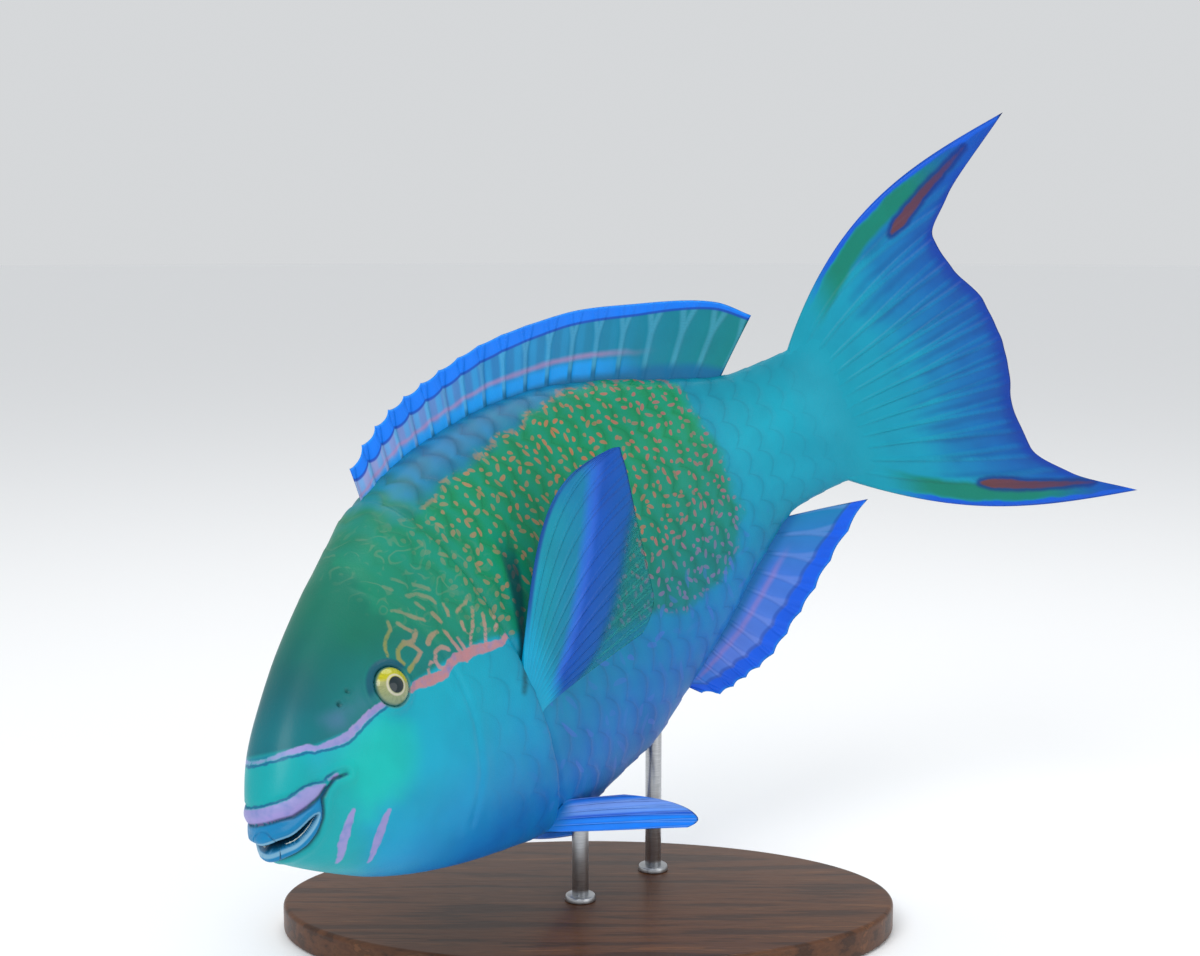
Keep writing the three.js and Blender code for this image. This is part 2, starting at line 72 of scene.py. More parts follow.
BEND, BEND_START, BEND_END = 0.997, 0.296, 1.107
DROOP, TWIST = 0.04, -0.063
GILL_EDGE, GILL_BULGE, GILL_STEP = 0.335, 0.022, 2.2
EYE_X, EYE_Z = 0.181, 0.06
EYE_RADIUS, EYE_DEPTH, EYE_SINK = 8.4, 5.4, 1.3
# how square the body's section is: below 1 the flank is flatter, above 1 the back and belly are sharper
FLANK_SHAPE, BACK_SHAPE = 0.88, 1.04

# station, back, belly, half width, as shares of the body's length
PROFILE = np.array([
    (0, 0.013, -0.012, 0.01), (0.01, 0.037, -0.027, 0.026), (0.03, 0.062, -0.048, 0.041),
    (0.06, 0.09, -0.076, 0.053), (0.1, 0.116, -0.11, 0.062), (0.16, 0.148, -0.149, 0.072),
    (0.24, 0.181, -0.19, 0.079), (0.34, 0.212, -0.23, 0.083), (0.44, 0.222, -0.252, 0.083),
    (0.54, 0.218, -0.252, 0.078), (0.64, 0.204, -0.225, 0.067), (0.74, 0.169, -0.18, 0.052),
    (0.82, 0.13, -0.13, 0.039), (0.9, 0.102, -0.089, 0.027), (0.96, 0.1, -0.086, 0.019),
    (1, 0.108, -0.096, 0.013), (1.05, 0.118, -0.106, 0.006),
])
# ray (0 first, 1 last) and the edge of each middle fin there, as shares of the body's length
DORSAL_EDGE = np.array([
    (0, 0.355, 0.248), (0.08, 0.405, 0.265), (0.2, 0.472, 0.277), (0.42, 0.6, 0.281),
    (0.63, 0.73, 0.265), (0.8, 0.826, 0.233), (0.93, 0.912, 0.194), (1, 0.945, 0.16),
])
ANAL_EDGE = np.array([
    (0, 0.66, -0.239), (0.12, 0.69, -0.256), (0.38, 0.755, -0.252), (0.64, 0.838, -0.214),
    (0.85, 0.915, -0.163), (1, 0.981, -0.118),
])
TAIL_EDGE = np.array([
    (0, 1.301, -0.248), (0.07, 1.232, -0.192), (0.15, 1.198, -0.14), (0.25, 1.197, -0.09),
    (0.38, 1.212, -0.035), (0.5, 1.219, 0.012), (0.62, 1.217, 0.06), (0.75, 1.198, 0.112),
    (0.85, 1.191, 0.158), (0.93, 1.228, 0.2), (1, 1.33, 0.268),
])


# Small helpers on arrays
def smooth(t):
    t = np.clip(t, 0.0, 1.0)
    return t * t * (3 - 2 * t)


def lerp(a, b, t):
    return a + (b - a) * t


def bump(distance, width):
    return np.exp(-((distance / width) ** 2))


def curve_through(table, column):
    """A smooth curve through a table's rows that never overshoots between them."""
    xs, ys = table[:, 0], table[:, column]
    slope = np.diff(ys) / np.diff(xs)
    tangent = np.concatenate([slope[:1], np.zeros(len(ys) - 2), slope[-1:]])
    before, after = slope[:-1], slope[1:]
    same = before * after > 0
    tangent[1:-1][same] = (2 * before * after)[same] / (before + after)[same]

    def value(x):
        x = np.asarray(x, float)
        i = np.clip(np.searchsorted(xs, x, side="right") - 1, 0, len(xs) - 2)
        span = xs[i + 1] - xs[i]
        t = np.clip((x - xs[i]) / span, 0, 1)
        a, b = t * t * (3 - 2 * t), t * (1 - t)
        return ys[i] * (1 - a) + ys[i + 1] * a + span * b * (tangent[i] * (1 - t) - tangent[i + 1] * t)

    return value


back, belly, half = (curve_through(PROFILE, column) for column in (1, 2, 3))


# The spine's bend
SPINE_STEP = 0.005
spine_share = np.arange(0, 1.5 + SPINE_STEP, SPINE_STEP)
spine_heading = -BEND * smooth((spine_share - BEND_START) / (BEND_END - BEND_START))
spine_middle = (spine_heading[1:] + spine_heading[:-1]) / 2
stride = BODY * SPINE_STEP
spine_x = np.concatenate([[0], np.cumsum(np.cos(spine_middle) * stride)])
spine_y = np.concatenate([[0], np.cumsum(np.sin(spine_middle) * stride)])


def aft(share):
    return smooth((share - 0.25) / 0.6)


spine_drop = np.concatenate([[0], np.cumsum(stride * DROOP * aft(spine_share[1:]))])
TURN = np.array(Euler([math.radians(a) for a in (HEAD_ROLL, -HEAD_PITCH, HEAD_YAW)], "XYZ").to_matrix())


def posed(points):
    """Straight fish coordinates in millimetres to the posed place in metres."""
    share = np.maximum(points[..., 0] / BODY, 0)
    place_x = np.interp(share, spine_share, spine_x) + np.minimum(points[..., 0], 0)
    place_y = np.interp(share, spine_share, spine_y)
    heading = np.interp(share, spine_share, spine_heading)
    roll = TWIST * aft(share)
    side = points[..., 1] * np.cos(roll) - points[..., 2] * np.sin(roll)
    height = points[..., 2] * np.cos(roll) + points[..., 1] * np.sin(roll)
    height = height - np.interp(share, spine_share, spine_drop)
    bent = np.stack([place_x - np.sin(heading) * side, place_y + np.cos(heading) * side, height], -1)
    return (bent @ TURN.T + SNOUT) / 1000


def body_point(x, angle):
    """A point of the straight body: angle 0 is the right flank, a quarter turn the back."""
    top, bottom = back(x / BODY) * BODY, belly(x / BODY) * BODY
    wide, tall = half(x / BODY) * BODY, (top - bottom) / 2
    c, s = np.cos(angle), np.sin(angle)
    y = wide * np.sign(c) * np.abs(c) ** FLANK_SHAPE
    z = (top + bottom) / 2 + tall * np.sign(s) * np.abs(s) ** BACK_SHAPE
    return np.stack([x + 0 * y, y, z], -1)


def angle_at(x, z, side):
    top, bottom = back(x / BODY) * BODY, belly(x / BODY) * BODY
    level = np.clip((z - (top + bottom) / 2) / ((top - bottom) / 2), -1, 1)
    rise = np.arcsin(np.sign(level) * np.abs(level) ** (1 / BACK_SHAPE))
    return np.where(side < 0, np.pi - rise, rise)


def surface_at(x, z, side):
    return body_point(np.float64(x), angle_at(x, z, side))


def surface_normal(x, z, side):
    here = surface_at(x, z, side)
    out = np.cross(surface_at(x + 1, z, side) - here, surface_at(x, z + 1, side) - here)
    out = out / np.linalg.norm(out)
    return -out if out[1] * side < 0 else out


def path_distance(x, z, path, closed=False):
    """Distance in the side view to a line through points, and how far along it, from 0 to 1."""
    points = np.array(path, float)
    if closed:
        points = np.vstack([points, points[:1]])
    legs = np.linalg.norm(np.diff(points, axis=0), axis=1)
    start = np.concatenate([[0], np.cumsum(legs)])
    best, along = np.full(x.shape, 1e9), np.zeros(x.shape)
    for i, leg in enumerate(legs):
        ax, az = points[i]
        bx, bz = points[i + 1]
        t = np.clip(((x - ax) * (bx - ax) + (z - az) * (bz - az)) / leg**2, 0, 1)
        d = np.hypot(x - ax - t * (bx - ax), z - az - t * (bz - az))
        near = d < best
        best = np.where(near, d, best)
        along = np.where(near, (start[i] + t * leg) / start[-1], along)
    return best, along


def inside(x, z, path):
    """Whether points lie inside a closed outline in the side view."""
    hit = np.zeros(x.shape, bool)
    points = np.array(path, float)
    for (ax, az), (bx, bz) in zip(points, np.roll(points, -1, 0)):
        if az == bz:
            continue
        crosses = ((az > z) != (bz > z)) & (x < (bx - ax) * (z - az) / (bz - az) + ax)
        hit ^= crosses
    return hit


# Making meshes
def mesh_piece(name, bm):
    mesh = bpy.data.meshes.new(name)
    bm.to_mesh(mesh)
    bm.free()
    piece = bpy.data.objects.new(name, mesh)
    bpy.context.scene.collection.objects.link(piece)
    return piece


def corner_places(mesh):
    flat = np.empty(len(mesh.vertices) * 3)
    mesh.vertices.foreach_get("co", flat)
    return flat.reshape(-1, 3)


def set_places(piece, points, values, merge=0.0):
    """Moves the corners, adds the named attributes and turns the faces outwards."""
    mesh = piece.data
    mesh.vertices.foreach_set("co", points.ravel())
    for key, value in values.items():
        layer = mesh.attributes.new(key, "FLOAT_VECTOR", "POINT")
        layer.data.foreach_set("vector", np.ascontiguousarray(value, dtype=np.float32).ravel())
    bm = bmesh.new()
    bm.from_mesh(mesh)
    if merge:
        bmesh.ops.remove_doubles(bm, verts=bm.verts, dist=merge)
    bmesh.ops.recalc_face_normals(bm, faces=bm.faces)
    bm.to_mesh(mesh)
    bm.free()
    return finished(piece)


def grid_piece(name, columns, rows, place):
    """A grid whose corners place(u, v) puts in metres, with named attributes; touching corners merge."""
    bm = bmesh.new()
    bmesh.ops.create_grid(bm, x_segments=columns, y_segments=rows, size=0.5)
    piece = mesh_piece(name, bm)
    flat = corner_places(piece.data)
    u = np.round((flat[:, 0] + 0.5) * columns) / columns
    v = np.round((flat[:, 1] + 0.5) * rows) / rows
    points, values = place(u, v)
    return set_places(piece, points, values, merge=2e-6)


def finished(piece):
    for face in piece.data.polygons:
        face.use_smooth = True
    return piece


def carry(piece, slot, *nodes):
    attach(piece, "root")
    if nodes:
        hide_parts(*nodes)
    return piece


# Markings and creases of the head, as lines in the side view in millimetres
CHEEK_STRIPE = [
    (16, 33), (19.4, 32.6), (23, 32), (27.6, 30.4), (30.8, 29.4), (32.4, 27), (39.2, 24.7), (45, 22.9),
    (50, 22.5), (57.8, 23.6), (64.8, 24), (72, 23.6),
]
EYE_BAND = [
    (88.8, 19.6), (93.1, 20.2), (102.6, 16.7), (111.8, 14), (120, 15.7), (124, 16), (129.3, 13.5),
    (136.1, 12.4), (144, 9.1), (154.4, 5.4), (159.4, 6.4),
]
LIP_BAND = [
    (-3, 16.4), (0, 16), (4, 15), (6.5, 13.9), (10.3, 12.5), (15.2, 12.5), (20.8, 12.6), (25.3, 12.3),
]
CORNER_SPOT = [(28.5, 12.8), (33, 12)]
CHIN_BARS = [
    [(31.3, -6), (26.3, -10.4), (22.1, -16.1), (20.8, -24)],
    [(48, -18), (43, -21.5), (39, -25.5), (35.7, -30.7), (34.4, -34)],
]
# wandering lines behind and above the eye, each with its half width
NETWORK = [
    (0.8, [(103.1, 50.6), (101.5, 46.8), (95.4, 44.9), (92, 42.4), (90.2, 38.3)]),
    (1.1, [(112.8, 38.8), (108, 36), (101.9, 38), (96.9, 37.7), (94.3, 34.4), (94.9, 31)]),
    (1.1, [(107.5, 29.8), (103.7, 28.8), (99, 27.8), (94.5, 26.9)]),
    (0.9, [(102.8, 38.8), (105.8, 33.9), (107.5, 29.8)]),
    (1.4, [(119.3, 32.3), (113.9, 30.7)]),
    (0.8, [(117.7, 32.5), (123.1, 31.4)]),
    (1.0, [(122.7, 21.3), (119.7, 25), (114.8, 25.2), (111.7, 21.9), (112, 17.6), (115.2, 15.5)]),
    (1.0, [(127, 29.8), (127.5, 23), (128.4, 16.5), (129.2, 11)]),
    (0.8, [(131.7, 22.7), (132.1, 16.5), (131.4, 12.2)]),
    (0.8, [(109.2, 22.9), (105.6, 21.7), (104.1, 19.2)]),
    (1.0, [(149.7, 28.4), (143.7, 21.2), (137.7, 16.6), (134.3, 13.9)]),
    (1.0, [(153.3, 22.7), (149.2, 15.5), (145.3, 10.4)]),
    (1.0, [(162.3, 19.8), (157.9, 17.3)]),
    (1.0, [(157.3, 14.3), (154.6, 12.9)]),
    (0.8, [(108.6, 53), (112.7, 49.7), (116.5, 44.2), (120.3, 39.7)]),
    (0.9, [(121, 53.6), (127.2, 51.2), (131.7, 46), (132.8, 42.3)]),
    (0.9, [(136.2, 39.6), (135.7, 35.7), (134.6, 33.4)]),
    (1.1, [(127, 39.9), (128.6, 33.9)]),
    (1.0, [(144.7, 33.2), (140.3, 32.2)]),
    (1.0, [(151, 34.2), (147.5, 32.7)]),
    (0.8, [(106.5, 46.9), (107.9, 43.8), (109.8, 40.2)]),
    (0.7, [(114.8, 63.6), (117.1, 59.8)]),
    (0.7, [(121.3, 64), (124.9, 59.2)]),
    (0.9, [(128.9, 55.6), (135, 49.1)]),
    (0.8, [(122.8, 48.6), (124.4, 44)]),
    (1.0, [(139.2, 27), (138.2, 22.8)]),
    (0.9, [(162, 8.5), (161.3, 4.7)]),
]
# painted shade in front of the pectoral fin, where the fin's root shades the body; the dark streak widens
# upwards
AXIL_SHADE = [(153, -22), (162, -12.5), (170, -4), (181, 10.5), (191, 26), (197, 38), (202, 50)]
JAW_CREASE = [
    (37.7, 9.5), (31, 11.6), (26.1, 10.4), (21.6, 8), (17.5, 0.8), (13.1, -3.7), (8.7, -6.4), (4.3, -7),
    (1, -7.3), (-3, -7.5),
]
LIP_FOLD = [(-3, 10.9), (1, 10.6), (4.4, 9.9), (8.2, 8.4), (14.5, 8.6), (20.6, 9.5), (25, 11.3)]
LIP_RIM = [
    (-3, 19.2), (2, 18.4), (5, 17.8), (8, 17.5), (12.1, 16.6), (16.6, 16.6), (21.9, 15.9), (26, 14.2),
    (34, 13.2), (38, 11),
]
PREOPERCLE = [(104, 70), (113, 52), (118, 30), (119, 8), (115, -16), (106, -38), (92, -56)]
GREEN_PATCH = [
    (100, 60), (112, 80), (130, 84), (150, 79), (198, 81), (252, 82), (296, 84), (327, 79), (350, 69),
    (366, 54), (369, 38), (371, 14), (369, -9), (361, -36), (341, -53), (308, -54), (281, -45),
    (242, -38), (205, -22), (180, -3), (164, 5), (140, 16), (118, 27),
]
MOUTH_LENGTH = 16.0
eye_centre = surface_at(EYE_X * BODY, EYE_Z * BODY, 1)
NOSTRILS = [(0.122, 0.079, 1.3), (0.138, 0.084, 1.1)]


# each stripe with how far along it is, from 0 to 1, and its half width there
STRIPES = [
    (CHEEK_STRIPE, [0, 0.2, 0.35, 0.5, 0.7, 1], [0.3, 1.5, 1.0, 2.0, 1.7, 1.4]),
    (EYE_BAND, [0, 0.15, 0.4, 0.6, 0.8, 1], [1.4, 2.6, 2.2, 2.7, 2.4, 1.5]),
    (LIP_BAND, [0, 0.25, 0.5, 0.75, 0.9, 1], [2.0, 2.2, 3.1, 3.3, 2.2, 0.7]),
    (CORNER_SPOT, [0, 1], [0.8, 0.9]),
]


def head_marks(x, z):
    """Signed distance to the pink and lilac marks, negative inside them."""
    near = np.full(x.shape, 1e3)
    for path, places, half_widths in STRIPES:
        distance, along = path_distance(x, z, path)
        near = np.minimum(near, distance - np.interp(along, places, half_widths))
    for bar in CHIN_BARS:
        distance, along = path_distance(x, z, bar)
        near = np.minimum(near, distance - 1.2 - 1.3 * np.sin(np.pi * along))
    return near


def network_marks(x, z):
    """Signed distance to the fine lines behind the eye."""
    near = np.full(x.shape, 1e3)
    for half_width, path in NETWORK:
        near = np.minimum(near, path_distance(x, z, path)[0] - half_width)
    return near


def mouth_line(x):
    """Height of the middle of the mouth, which curves up to its corner."""
    return -0.7 + 4.9 * smooth((x - 4) / 17) ** 0.9 + 0.4 * (1 - smooth(x / 5))


def mouth_shape(x, z):
    """How far a point is inside the open mouth, in millimetres (negative outside)."""
    middle = mouth_line(x)
    gap = 2.15 * np.sqrt(np.clip(1 - (x / MOUTH_LENGTH) ** 2, 0, 1))
    return np.where(x < MOUTH_LENGTH, gap - np.abs(z - middle), -np.hypot(x - MOUTH_LENGTH, z - middle))


# Rows of large scales
def scale_columns(x):
    """Count of scales from the snout to a station."""
    stations = np.linspace(0, 1.1, 221) * BODY
    pitch = np.interp(stations, [0, 150, 300, 420, 500], [15, 15.5, 14.5, 11, 10])
    count = np.concatenate([[0], np.cumsum(np.diff(stations) / ((pitch[1:] + pitch[:-1]) / 2))])
    return np.interp(x, stations, count)


def scale_rise(s, t):
    """Height of the overlapping scales, 0 to 1, where s counts columns and t rows."""

    def edge(column):
        offset = 0.5 * np.mod(column, 2)
        across = t - offset - np.round(t - offset)
        return column + 0.5 * (1 - 4 * across**2)

    column = np.floor(s)
    passed = s > edge(column)
    top = np.where(passed, column + 1, column)
    start, end = edge(top - 1), edge(top)
    return np.clip((s - start) / (end - start), 0, 1)


def scale_weight(x):
    return smooth((x - 95) / 70) * (1 - 0.4 * smooth((x - 380) / 40)) * (1 - smooth((x - 425) / 32))


# The skin, one surface from the lips to the tail's root
SKIN_COLUMNS, SKIN_ROWS = 248, 370
CAP_ROWS, NOSE_DOME = 16, 1.3
# the skin thins over the tail fin's root from here on, and closes at its end, as shares of the length
THIN_START, THIN_SPAN, SKIN_END, SKIN_CLOSING = 0.94, 0.1, 1.04, 0.005
row_stations = np.linspace(0, (SKIN_END + SKIN_CLOSING) * BODY, 4000)
row_spacing = np.interp(
    row_stations, [0, 6, 40, 100, 150, 165, 200, 470], [0.4, 0.7, 0.85, 1.1, 1.15, 1.2, 1.5, 1.75]
)
row_count = np.concatenate([[0], np.cumsum(np.diff(row_stations) / row_spacing[1:])])
turn = np.linspace(0, 2 * np.pi, 2000)
turn_length = np.concatenate([[0], np.cumsum(np.hypot(0.5 * np.diff(np.cos(turn)), np.diff(np.sin(turn))))])


def skin_base(u, v):
    row = v * SKIN_ROWS
    counted = np.clip((row - CAP_ROWS) / (SKIN_ROWS - CAP_ROWS), 0, 1) * row_count[-1]
    station = np.interp(counted, row_count, row_stations)
    angle = np.interp(u * turn_length[-1], turn_length, turn)
    point = body_point(np.maximum(station, 0.6), angle)
    thinning = 1 - 0.98 * smooth((station / BODY - THIN_START) / THIN_SPAN)
    closed = np.clip((station / BODY - SKIN_END) / SKIN_CLOSING, 0, 1)
    point[..., 1] *= thinning * np.sqrt(np.clip(1 - closed**2, 0, 1))
    nose = np.clip(row / CAP_ROWS, 0, 1)[..., None]
    tip = np.array([0.0, 0.0, 0.2])
    return lerp(tip, point, nose) - np.array([NOSE_DOME, 0, 0]) * (1 - nose**2), angle


def skin_normal(u, v):
    e = 2e-4
    low, high = np.maximum(v - e, 0), np.minimum(v + e, 1)
    along_u = skin_base(np.mod(u + e, 1), v)[0] - skin_base(np.mod(u - e, 1), v)[0]
    along_v = skin_base(u, high)[0] - skin_base(u, low)[0]
    out = np.cross(along_v, along_u)
    length = np.linalg.norm(out, axis=-1, keepdims=True)
    out = out / np.maximum(length, 1e-9)
    base = skin_base(u, v)[0]
    middle = (back(base[..., 0] / BODY) + belly(base[..., 0] / BODY)) / 2 * BODY
    outward = out[..., 1] * base[..., 1] + out[..., 2] * (base[..., 2] - middle)
    outward -= out[..., 0] * np.maximum(0, 9 - base[..., 0])
    out = out * np.where(outward < 0, -1, 1)[..., None]
    cap = v * SKIN_ROWS < CAP_ROWS + 1
    if cap.any() and not cap.all():
        ring = skin_normal(u[cap], np.full(u[cap].shape, (CAP_ROWS + 2) / SKIN_ROWS))
        share = smooth(v[cap] * SKIN_ROWS / (CAP_ROWS + 1))[..., None]
        blended = lerp(np.array([-1.0, 0, 0]), ring, share)
        out[cap] = blended / np.linalg.norm(blended, axis=-1, keepdims=True)
    return out


def skin_place(u, v):
    base, angle = skin_base(u, v)
    out = skin_normal(u, v)
    x, y, z = base[..., 0], base[..., 1], base[..., 2]
    flank = np.abs(np.cos(angle))
    lift = np.zeros(x.shape)

    # gill cover, standing over the body behind it, and the edge of the cheek in front of it
    gill = BODY * (GILL_EDGE + GILL_BULGE * np.cos(angle) ** 2)
    cover = GILL_STEP * smooth((x / gill - 0.86) / 0.13) * flank**0.7
    lift += cover * (1 - smooth((x - gill) / 2.0))
    lift -= 0.9 * bump(x - gill - 3.2, 2.0) * flank**0.5
    cheek = path_distance(x, z, PREOPERCLE)[0]
    lift -= 0.5 * bump(cheek, 1.6) * flank
    lift += 0.5 * bump(cheek - 4, 4.0) * flank

    # eye sockets
    near_eye = np.linalg.norm(np.stack([x, np.abs(y), z], -1) - eye_centre, axis=-1)
    lift += 1.4 * bump(near_eye, 18) + 0.9 * bump(near_eye - EYE_RADIUS - 2.6, 1.4)
    lift -= 0.4 * bump(near_eye - EYE_RADIUS - 5.8, 1.6)
    lift -= 6.0 * (1 - smooth((near_eye - EYE_RADIUS + 0.5) / 1.6))
    for share_x, share_z, radius in NOSTRILS:
        hole = surface_at(share_x * BODY, share_z * BODY, 1)
        away = np.linalg.norm(np.stack([x, np.abs(y), z], -1) - hole, axis=-1)
        lift += 0.55 * bump(away - radius - 0.7, 0.8) - 1.8 * (1 - smooth((away - radius + 0.6) / 0.9))

    # lips, folds and jaw
    wide = mouth_shape(x, z)
    muzzle = 1 - smooth((x - 14) / 14)
    crease = path_distance(x, z, JAW_CREASE)[0]
    fold = path_distance(x, z, LIP_FOLD)[0]
    rim = path_distance(x, z, LIP_RIM)[0]
    band = path_distance(x, z, LIP_BAND)[0]
    lift += 1.9 * bump(wide + 2.6, 2.3) * muzzle
    lift += 1.0 * bump(band, 3.0)
    lift -= 1.3 * bump(crease, 0.9) + 0.8 * bump(fold, 0.8) + 0.9 * bump(rim, 0.9)
    lift += 0.8 * bump(crease - 3, 2.4) * (1 - smooth((wide + 1) / 1.0))

    # scales
    top, bottom = back(x / BODY) * BODY, belly(x / BODY) * BODY
    arc = angle_from_lateral(angle) * (top - bottom) * 0.55
    pitch = np.interp(x, [0, 200, 330, 460], [21, 21, 18, 12.5])
    s, t = scale_columns(x), arc / pitch
    lift += 0.5 * scale_weight(x) * (scale_rise(s, t) ** 1.6 - 0.35)

    point = base + out * lift[..., None]
    pocket = smooth(wide / 0.55)[..., None]
    core = np.stack([14 + 0.35 * x, 0.35 * y, 2.5 + 0.35 * (z - 1)], -1)
    point = lerp(point, core, 0.92 * pocket)

    # distance to the line of painted shade in front of the pectoral fin
    axil_shade, along = path_distance(x, z, AXIL_SHADE)
    axil_shade = np.where(z > np.interp(x, *np.transpose(AXIL_SHADE)) - 40, axil_shade, 1e3)
    green = path_distance(x, z, GREEN_PATCH, closed=True)[0]
    green = np.where(inside(x, z, GREEN_PATCH), green, -green)
    lips = np.where(inside(x, z, JAW_CREASE + LIP_FOLD), 1.0, 0.0)
    values = {
        "fish": np.stack([x, y, z], -1) / 1000,
        "marks": np.stack([head_marks(x, z), green, near_eye], -1),
        "scales": np.stack([s, t, scale_weight(x)], -1),
        "mouth": np.stack([wide, np.minimum(crease, fold), lips], -1),
        "lines": np.stack([network_marks(x, z), axil_shade, along], -1),
    }
    return posed(point), values


def angle_from_lateral(angle):
    """Signed turn from the flank's middle, -1 at the belly to 1 at the back, measured along the skin."""
    length = np.interp(np.mod(angle, 2 * np.pi), turn, turn_length) / turn_length[-1]
    folded = np.where(length < 0.25, length, np.where(length < 0.75, 0.5 - length, length - 1))
    return folded * 4


skin = grid_piece("skin", SKIN_COLUMNS, SKIN_ROWS, skin_place)
carry(skin, "skin", "head", "torso", "tail_stalk")


# Eyes
EYE_LARGER, LENS_RISE = 1.2, 0.5


def eye_frame(side):
    here = surface_at(EYE_X * BODY, EYE_Z * BODY, side)
    out = surface_normal(EYE_X * BODY, EYE_Z * BODY, side)
    up = np.array([0.0, 0, 1]) - out * out[2]
    up /= np.linalg.norm(up)
    forward = np.cross(up, out) * (-1 if side < 0 else 1)
    if forward[0] > 0:
        forward = -forward
    return here, out, up, forward


def eye_piece(side, word):
    here, out, up, forward = eye_frame(side)
    bm = bmesh.new()
    bmesh.ops.create_uvsphere(bm, u_segments=96, v_segments=64, radius=1)
    piece = mesh_piece("eye_globe_" + word, bm)
    local = corner_places(piece.data)
    reach = np.hypot(local[:, 0], local[:, 1])
    lens = LENS_RISE * bump(reach, 0.42) * (local[:, 2] > 0)
    radius = EYE_RADIUS + EYE_LARGER
    point = here + np.outer(local[:, 0] * radius, forward) + np.outer(local[:, 1] * radius, up)
    point = point + np.outer(local[:, 2] * EYE_DEPTH - 0.2 * EYE_SINK + lens, out)
    return carry(set_places(piece, posed(point), {"iris": local}), "eye", "eye_" + word)


eyes = [eye_piece(-1, "left"), eye_piece(1, "right")]


# Beak: two curved plates of fused teeth that stand just inside the lips, in millimetres
BEAK_FRONT, BEAK_REACH, BEAK_ROOT = 2.2, 13.0, 7.0
PLATE_SUNK, PLATE_LEAN, PLATE_THICK = 1.9, 1.2, 0.9


def beak_piece(up, word, shown):
    def place(u, v):
        face = np.where(u < 0.5, 1.0, -1.0)
        across = np.where(u < 0.5, 4 * u - 1, 3 - 4 * u)
        reach = np.abs(across)
        x = BEAK_FRONT + BEAK_REACH * reach**2
        middle = mouth_line(x)
        teeth = 0.15 * np.cos(across * 34)
        cut = shown * np.sqrt(np.clip(1 - reach**3, 0.0, 1)) + teeth * (1 - reach)
        z = middle + up * lerp(cut, BEAK_ROOT, v)
        angle = angle_at(x, z, np.where(across < 0, -1, 1))
        skin_point = body_point(x, angle)
        centre = np.stack([x + 14, 0 * x, middle], -1)
        inward = centre - skin_point
        inward /= np.linalg.norm(inward, axis=-1, keepdims=True)
        narrowing = np.sin(np.pi * np.clip(reach, 0, 1) / 2 + np.pi / 2) ** 0.5
        thick = PLATE_THICK * narrowing * smooth(v / 0.25 + 0.12)
        depth = PLATE_SUNK + PLATE_LEAN * v - face * thick
        return posed(skin_point + inward * depth[..., None]), {"tooth": np.stack([across, v, face], -1)}

    piece = grid_piece("beak_plate_" + word, 192, 24, place)
    return carry(piece, "beak", "beak_" + word)


beaks = [beak_piece(1, "upper", 1.95), beak_piece(-1, "lower", 1.25)]


# Fins
RAY_FORK = 0.2  # how far a soft ray's halves part at the edge, as a share of the way to the next ray
RAY_HALF_WIDTH, RAY_START = 0.12, 0.25
WEB_TAPER, ROOT_REACH, SIDE_RIM, EDGE_RIM = 0.62, 0.07, 0.22, 1.5


def ray_shape(u, v, rays, split):
    """Height of the rays at a point, 0 between them and 1 on them; soft rays fork towards the edge."""
    r = u * (rays - 1)
    off = np.abs(r - np.round(r))
    fork = RAY_FORK * smooth((v - split) / (1 - split))
    return bump(off - fork, RAY_HALF_WIDTH)


def fin_measures(path, across, v, flat, streaks):
    """Millimetres to the free edge along the ray, to the leading rays, and to the coloured streaks."""
    edge = np.linalg.norm(flat - path(across, np.ones_like(v)), axis=-1)
    run = np.linspace(0, 1, 25)
    lead = np.full(v.shape, 1e3)
    for end in (0.0, 1.0) if streaks else (0.0,):
        line = path(np.full(run.shape, end), run)
        for a, b in zip(line[:-1], line[1:]):
            t = np.clip(((flat - a) @ (b - a)) / ((b - a) @ (b - a)), 0, 1)
            lead = np.minimum(lead, np.linalg.norm(flat - a - t[..., None] * (b - a), axis=-1))
    streak = np.full(v.shape, 1e3)
    for line in streaks:
        distance, along = path_distance(flat[..., 0], flat[..., 2], [(a * BODY, b * BODY) for a, b in line])
        half_width = 0.4 + 2.9 * smooth((along + 0.06) / 0.2) * (1 - along) ** 0.7
        streak = np.minimum(streak, distance - half_width)
    return edge, lead, streak


def fin_piece(kind, suffix, rays, per_ray, rows, path, ray_height, membrane, root_flare):
    """A closed sheet with raised rays: one face runs out, the other comes back."""
    split = RAY_SPLIT[kind]
    streaks = TAIL_STREAKS if kind == "tail" else ()
    columns = 2 * per_ray * (rays - 1)

    def place(u, v):
        face = np.where(u < 0.5, 1.0, -1.0)
        across = np.where(u < 0.5, 2 * u, 2 - 2 * u)
        here = posed(path(across, v))
        e = 1e-3
        along_u = posed(path(np.minimum(across + e, 1), v)) - posed(path(np.maximum(across - e, 0), v))
        along_v = posed(path(across, np.minimum(v + e, 1))) - posed(path(across, np.maximum(v - e, 0)))
        out = np.cross(along_u, along_v)
        out /= np.maximum(np.linalg.norm(out, axis=-1, keepdims=True), 1e-12)
        ridge = ray_height * ray_shape(across, v, rays, split) * smooth(v / RAY_START)
        thick = (membrane + ridge) * (1 - WEB_TAPER * v)
        thick = thick + root_flare * np.exp(-v / ROOT_REACH)
        side_rim = np.minimum(across, 1 - across) * (rays - 1) / SIDE_RIM
        rim = np.minimum(side_rim, (1 - v) * rows / EDGE_RIM)
        thick = thick * np.sqrt(np.clip(rim, 0, 1))
        flat = path(across, v)
        values = {
            "fin": np.stack([across * (rays - 1), v, across], -1),
            "fish": flat / 1000,
            "margin": np.stack(fin_measures(path, across, v, flat, streaks), -1),
        }
        return here + out * (face * thick / 2000)[..., None], values

    piece = grid_piece(f"fin_{kind}_web{suffix}", columns, rows, place)
    return carry(piece, "fin", f"fin_{kind}{suffix}")


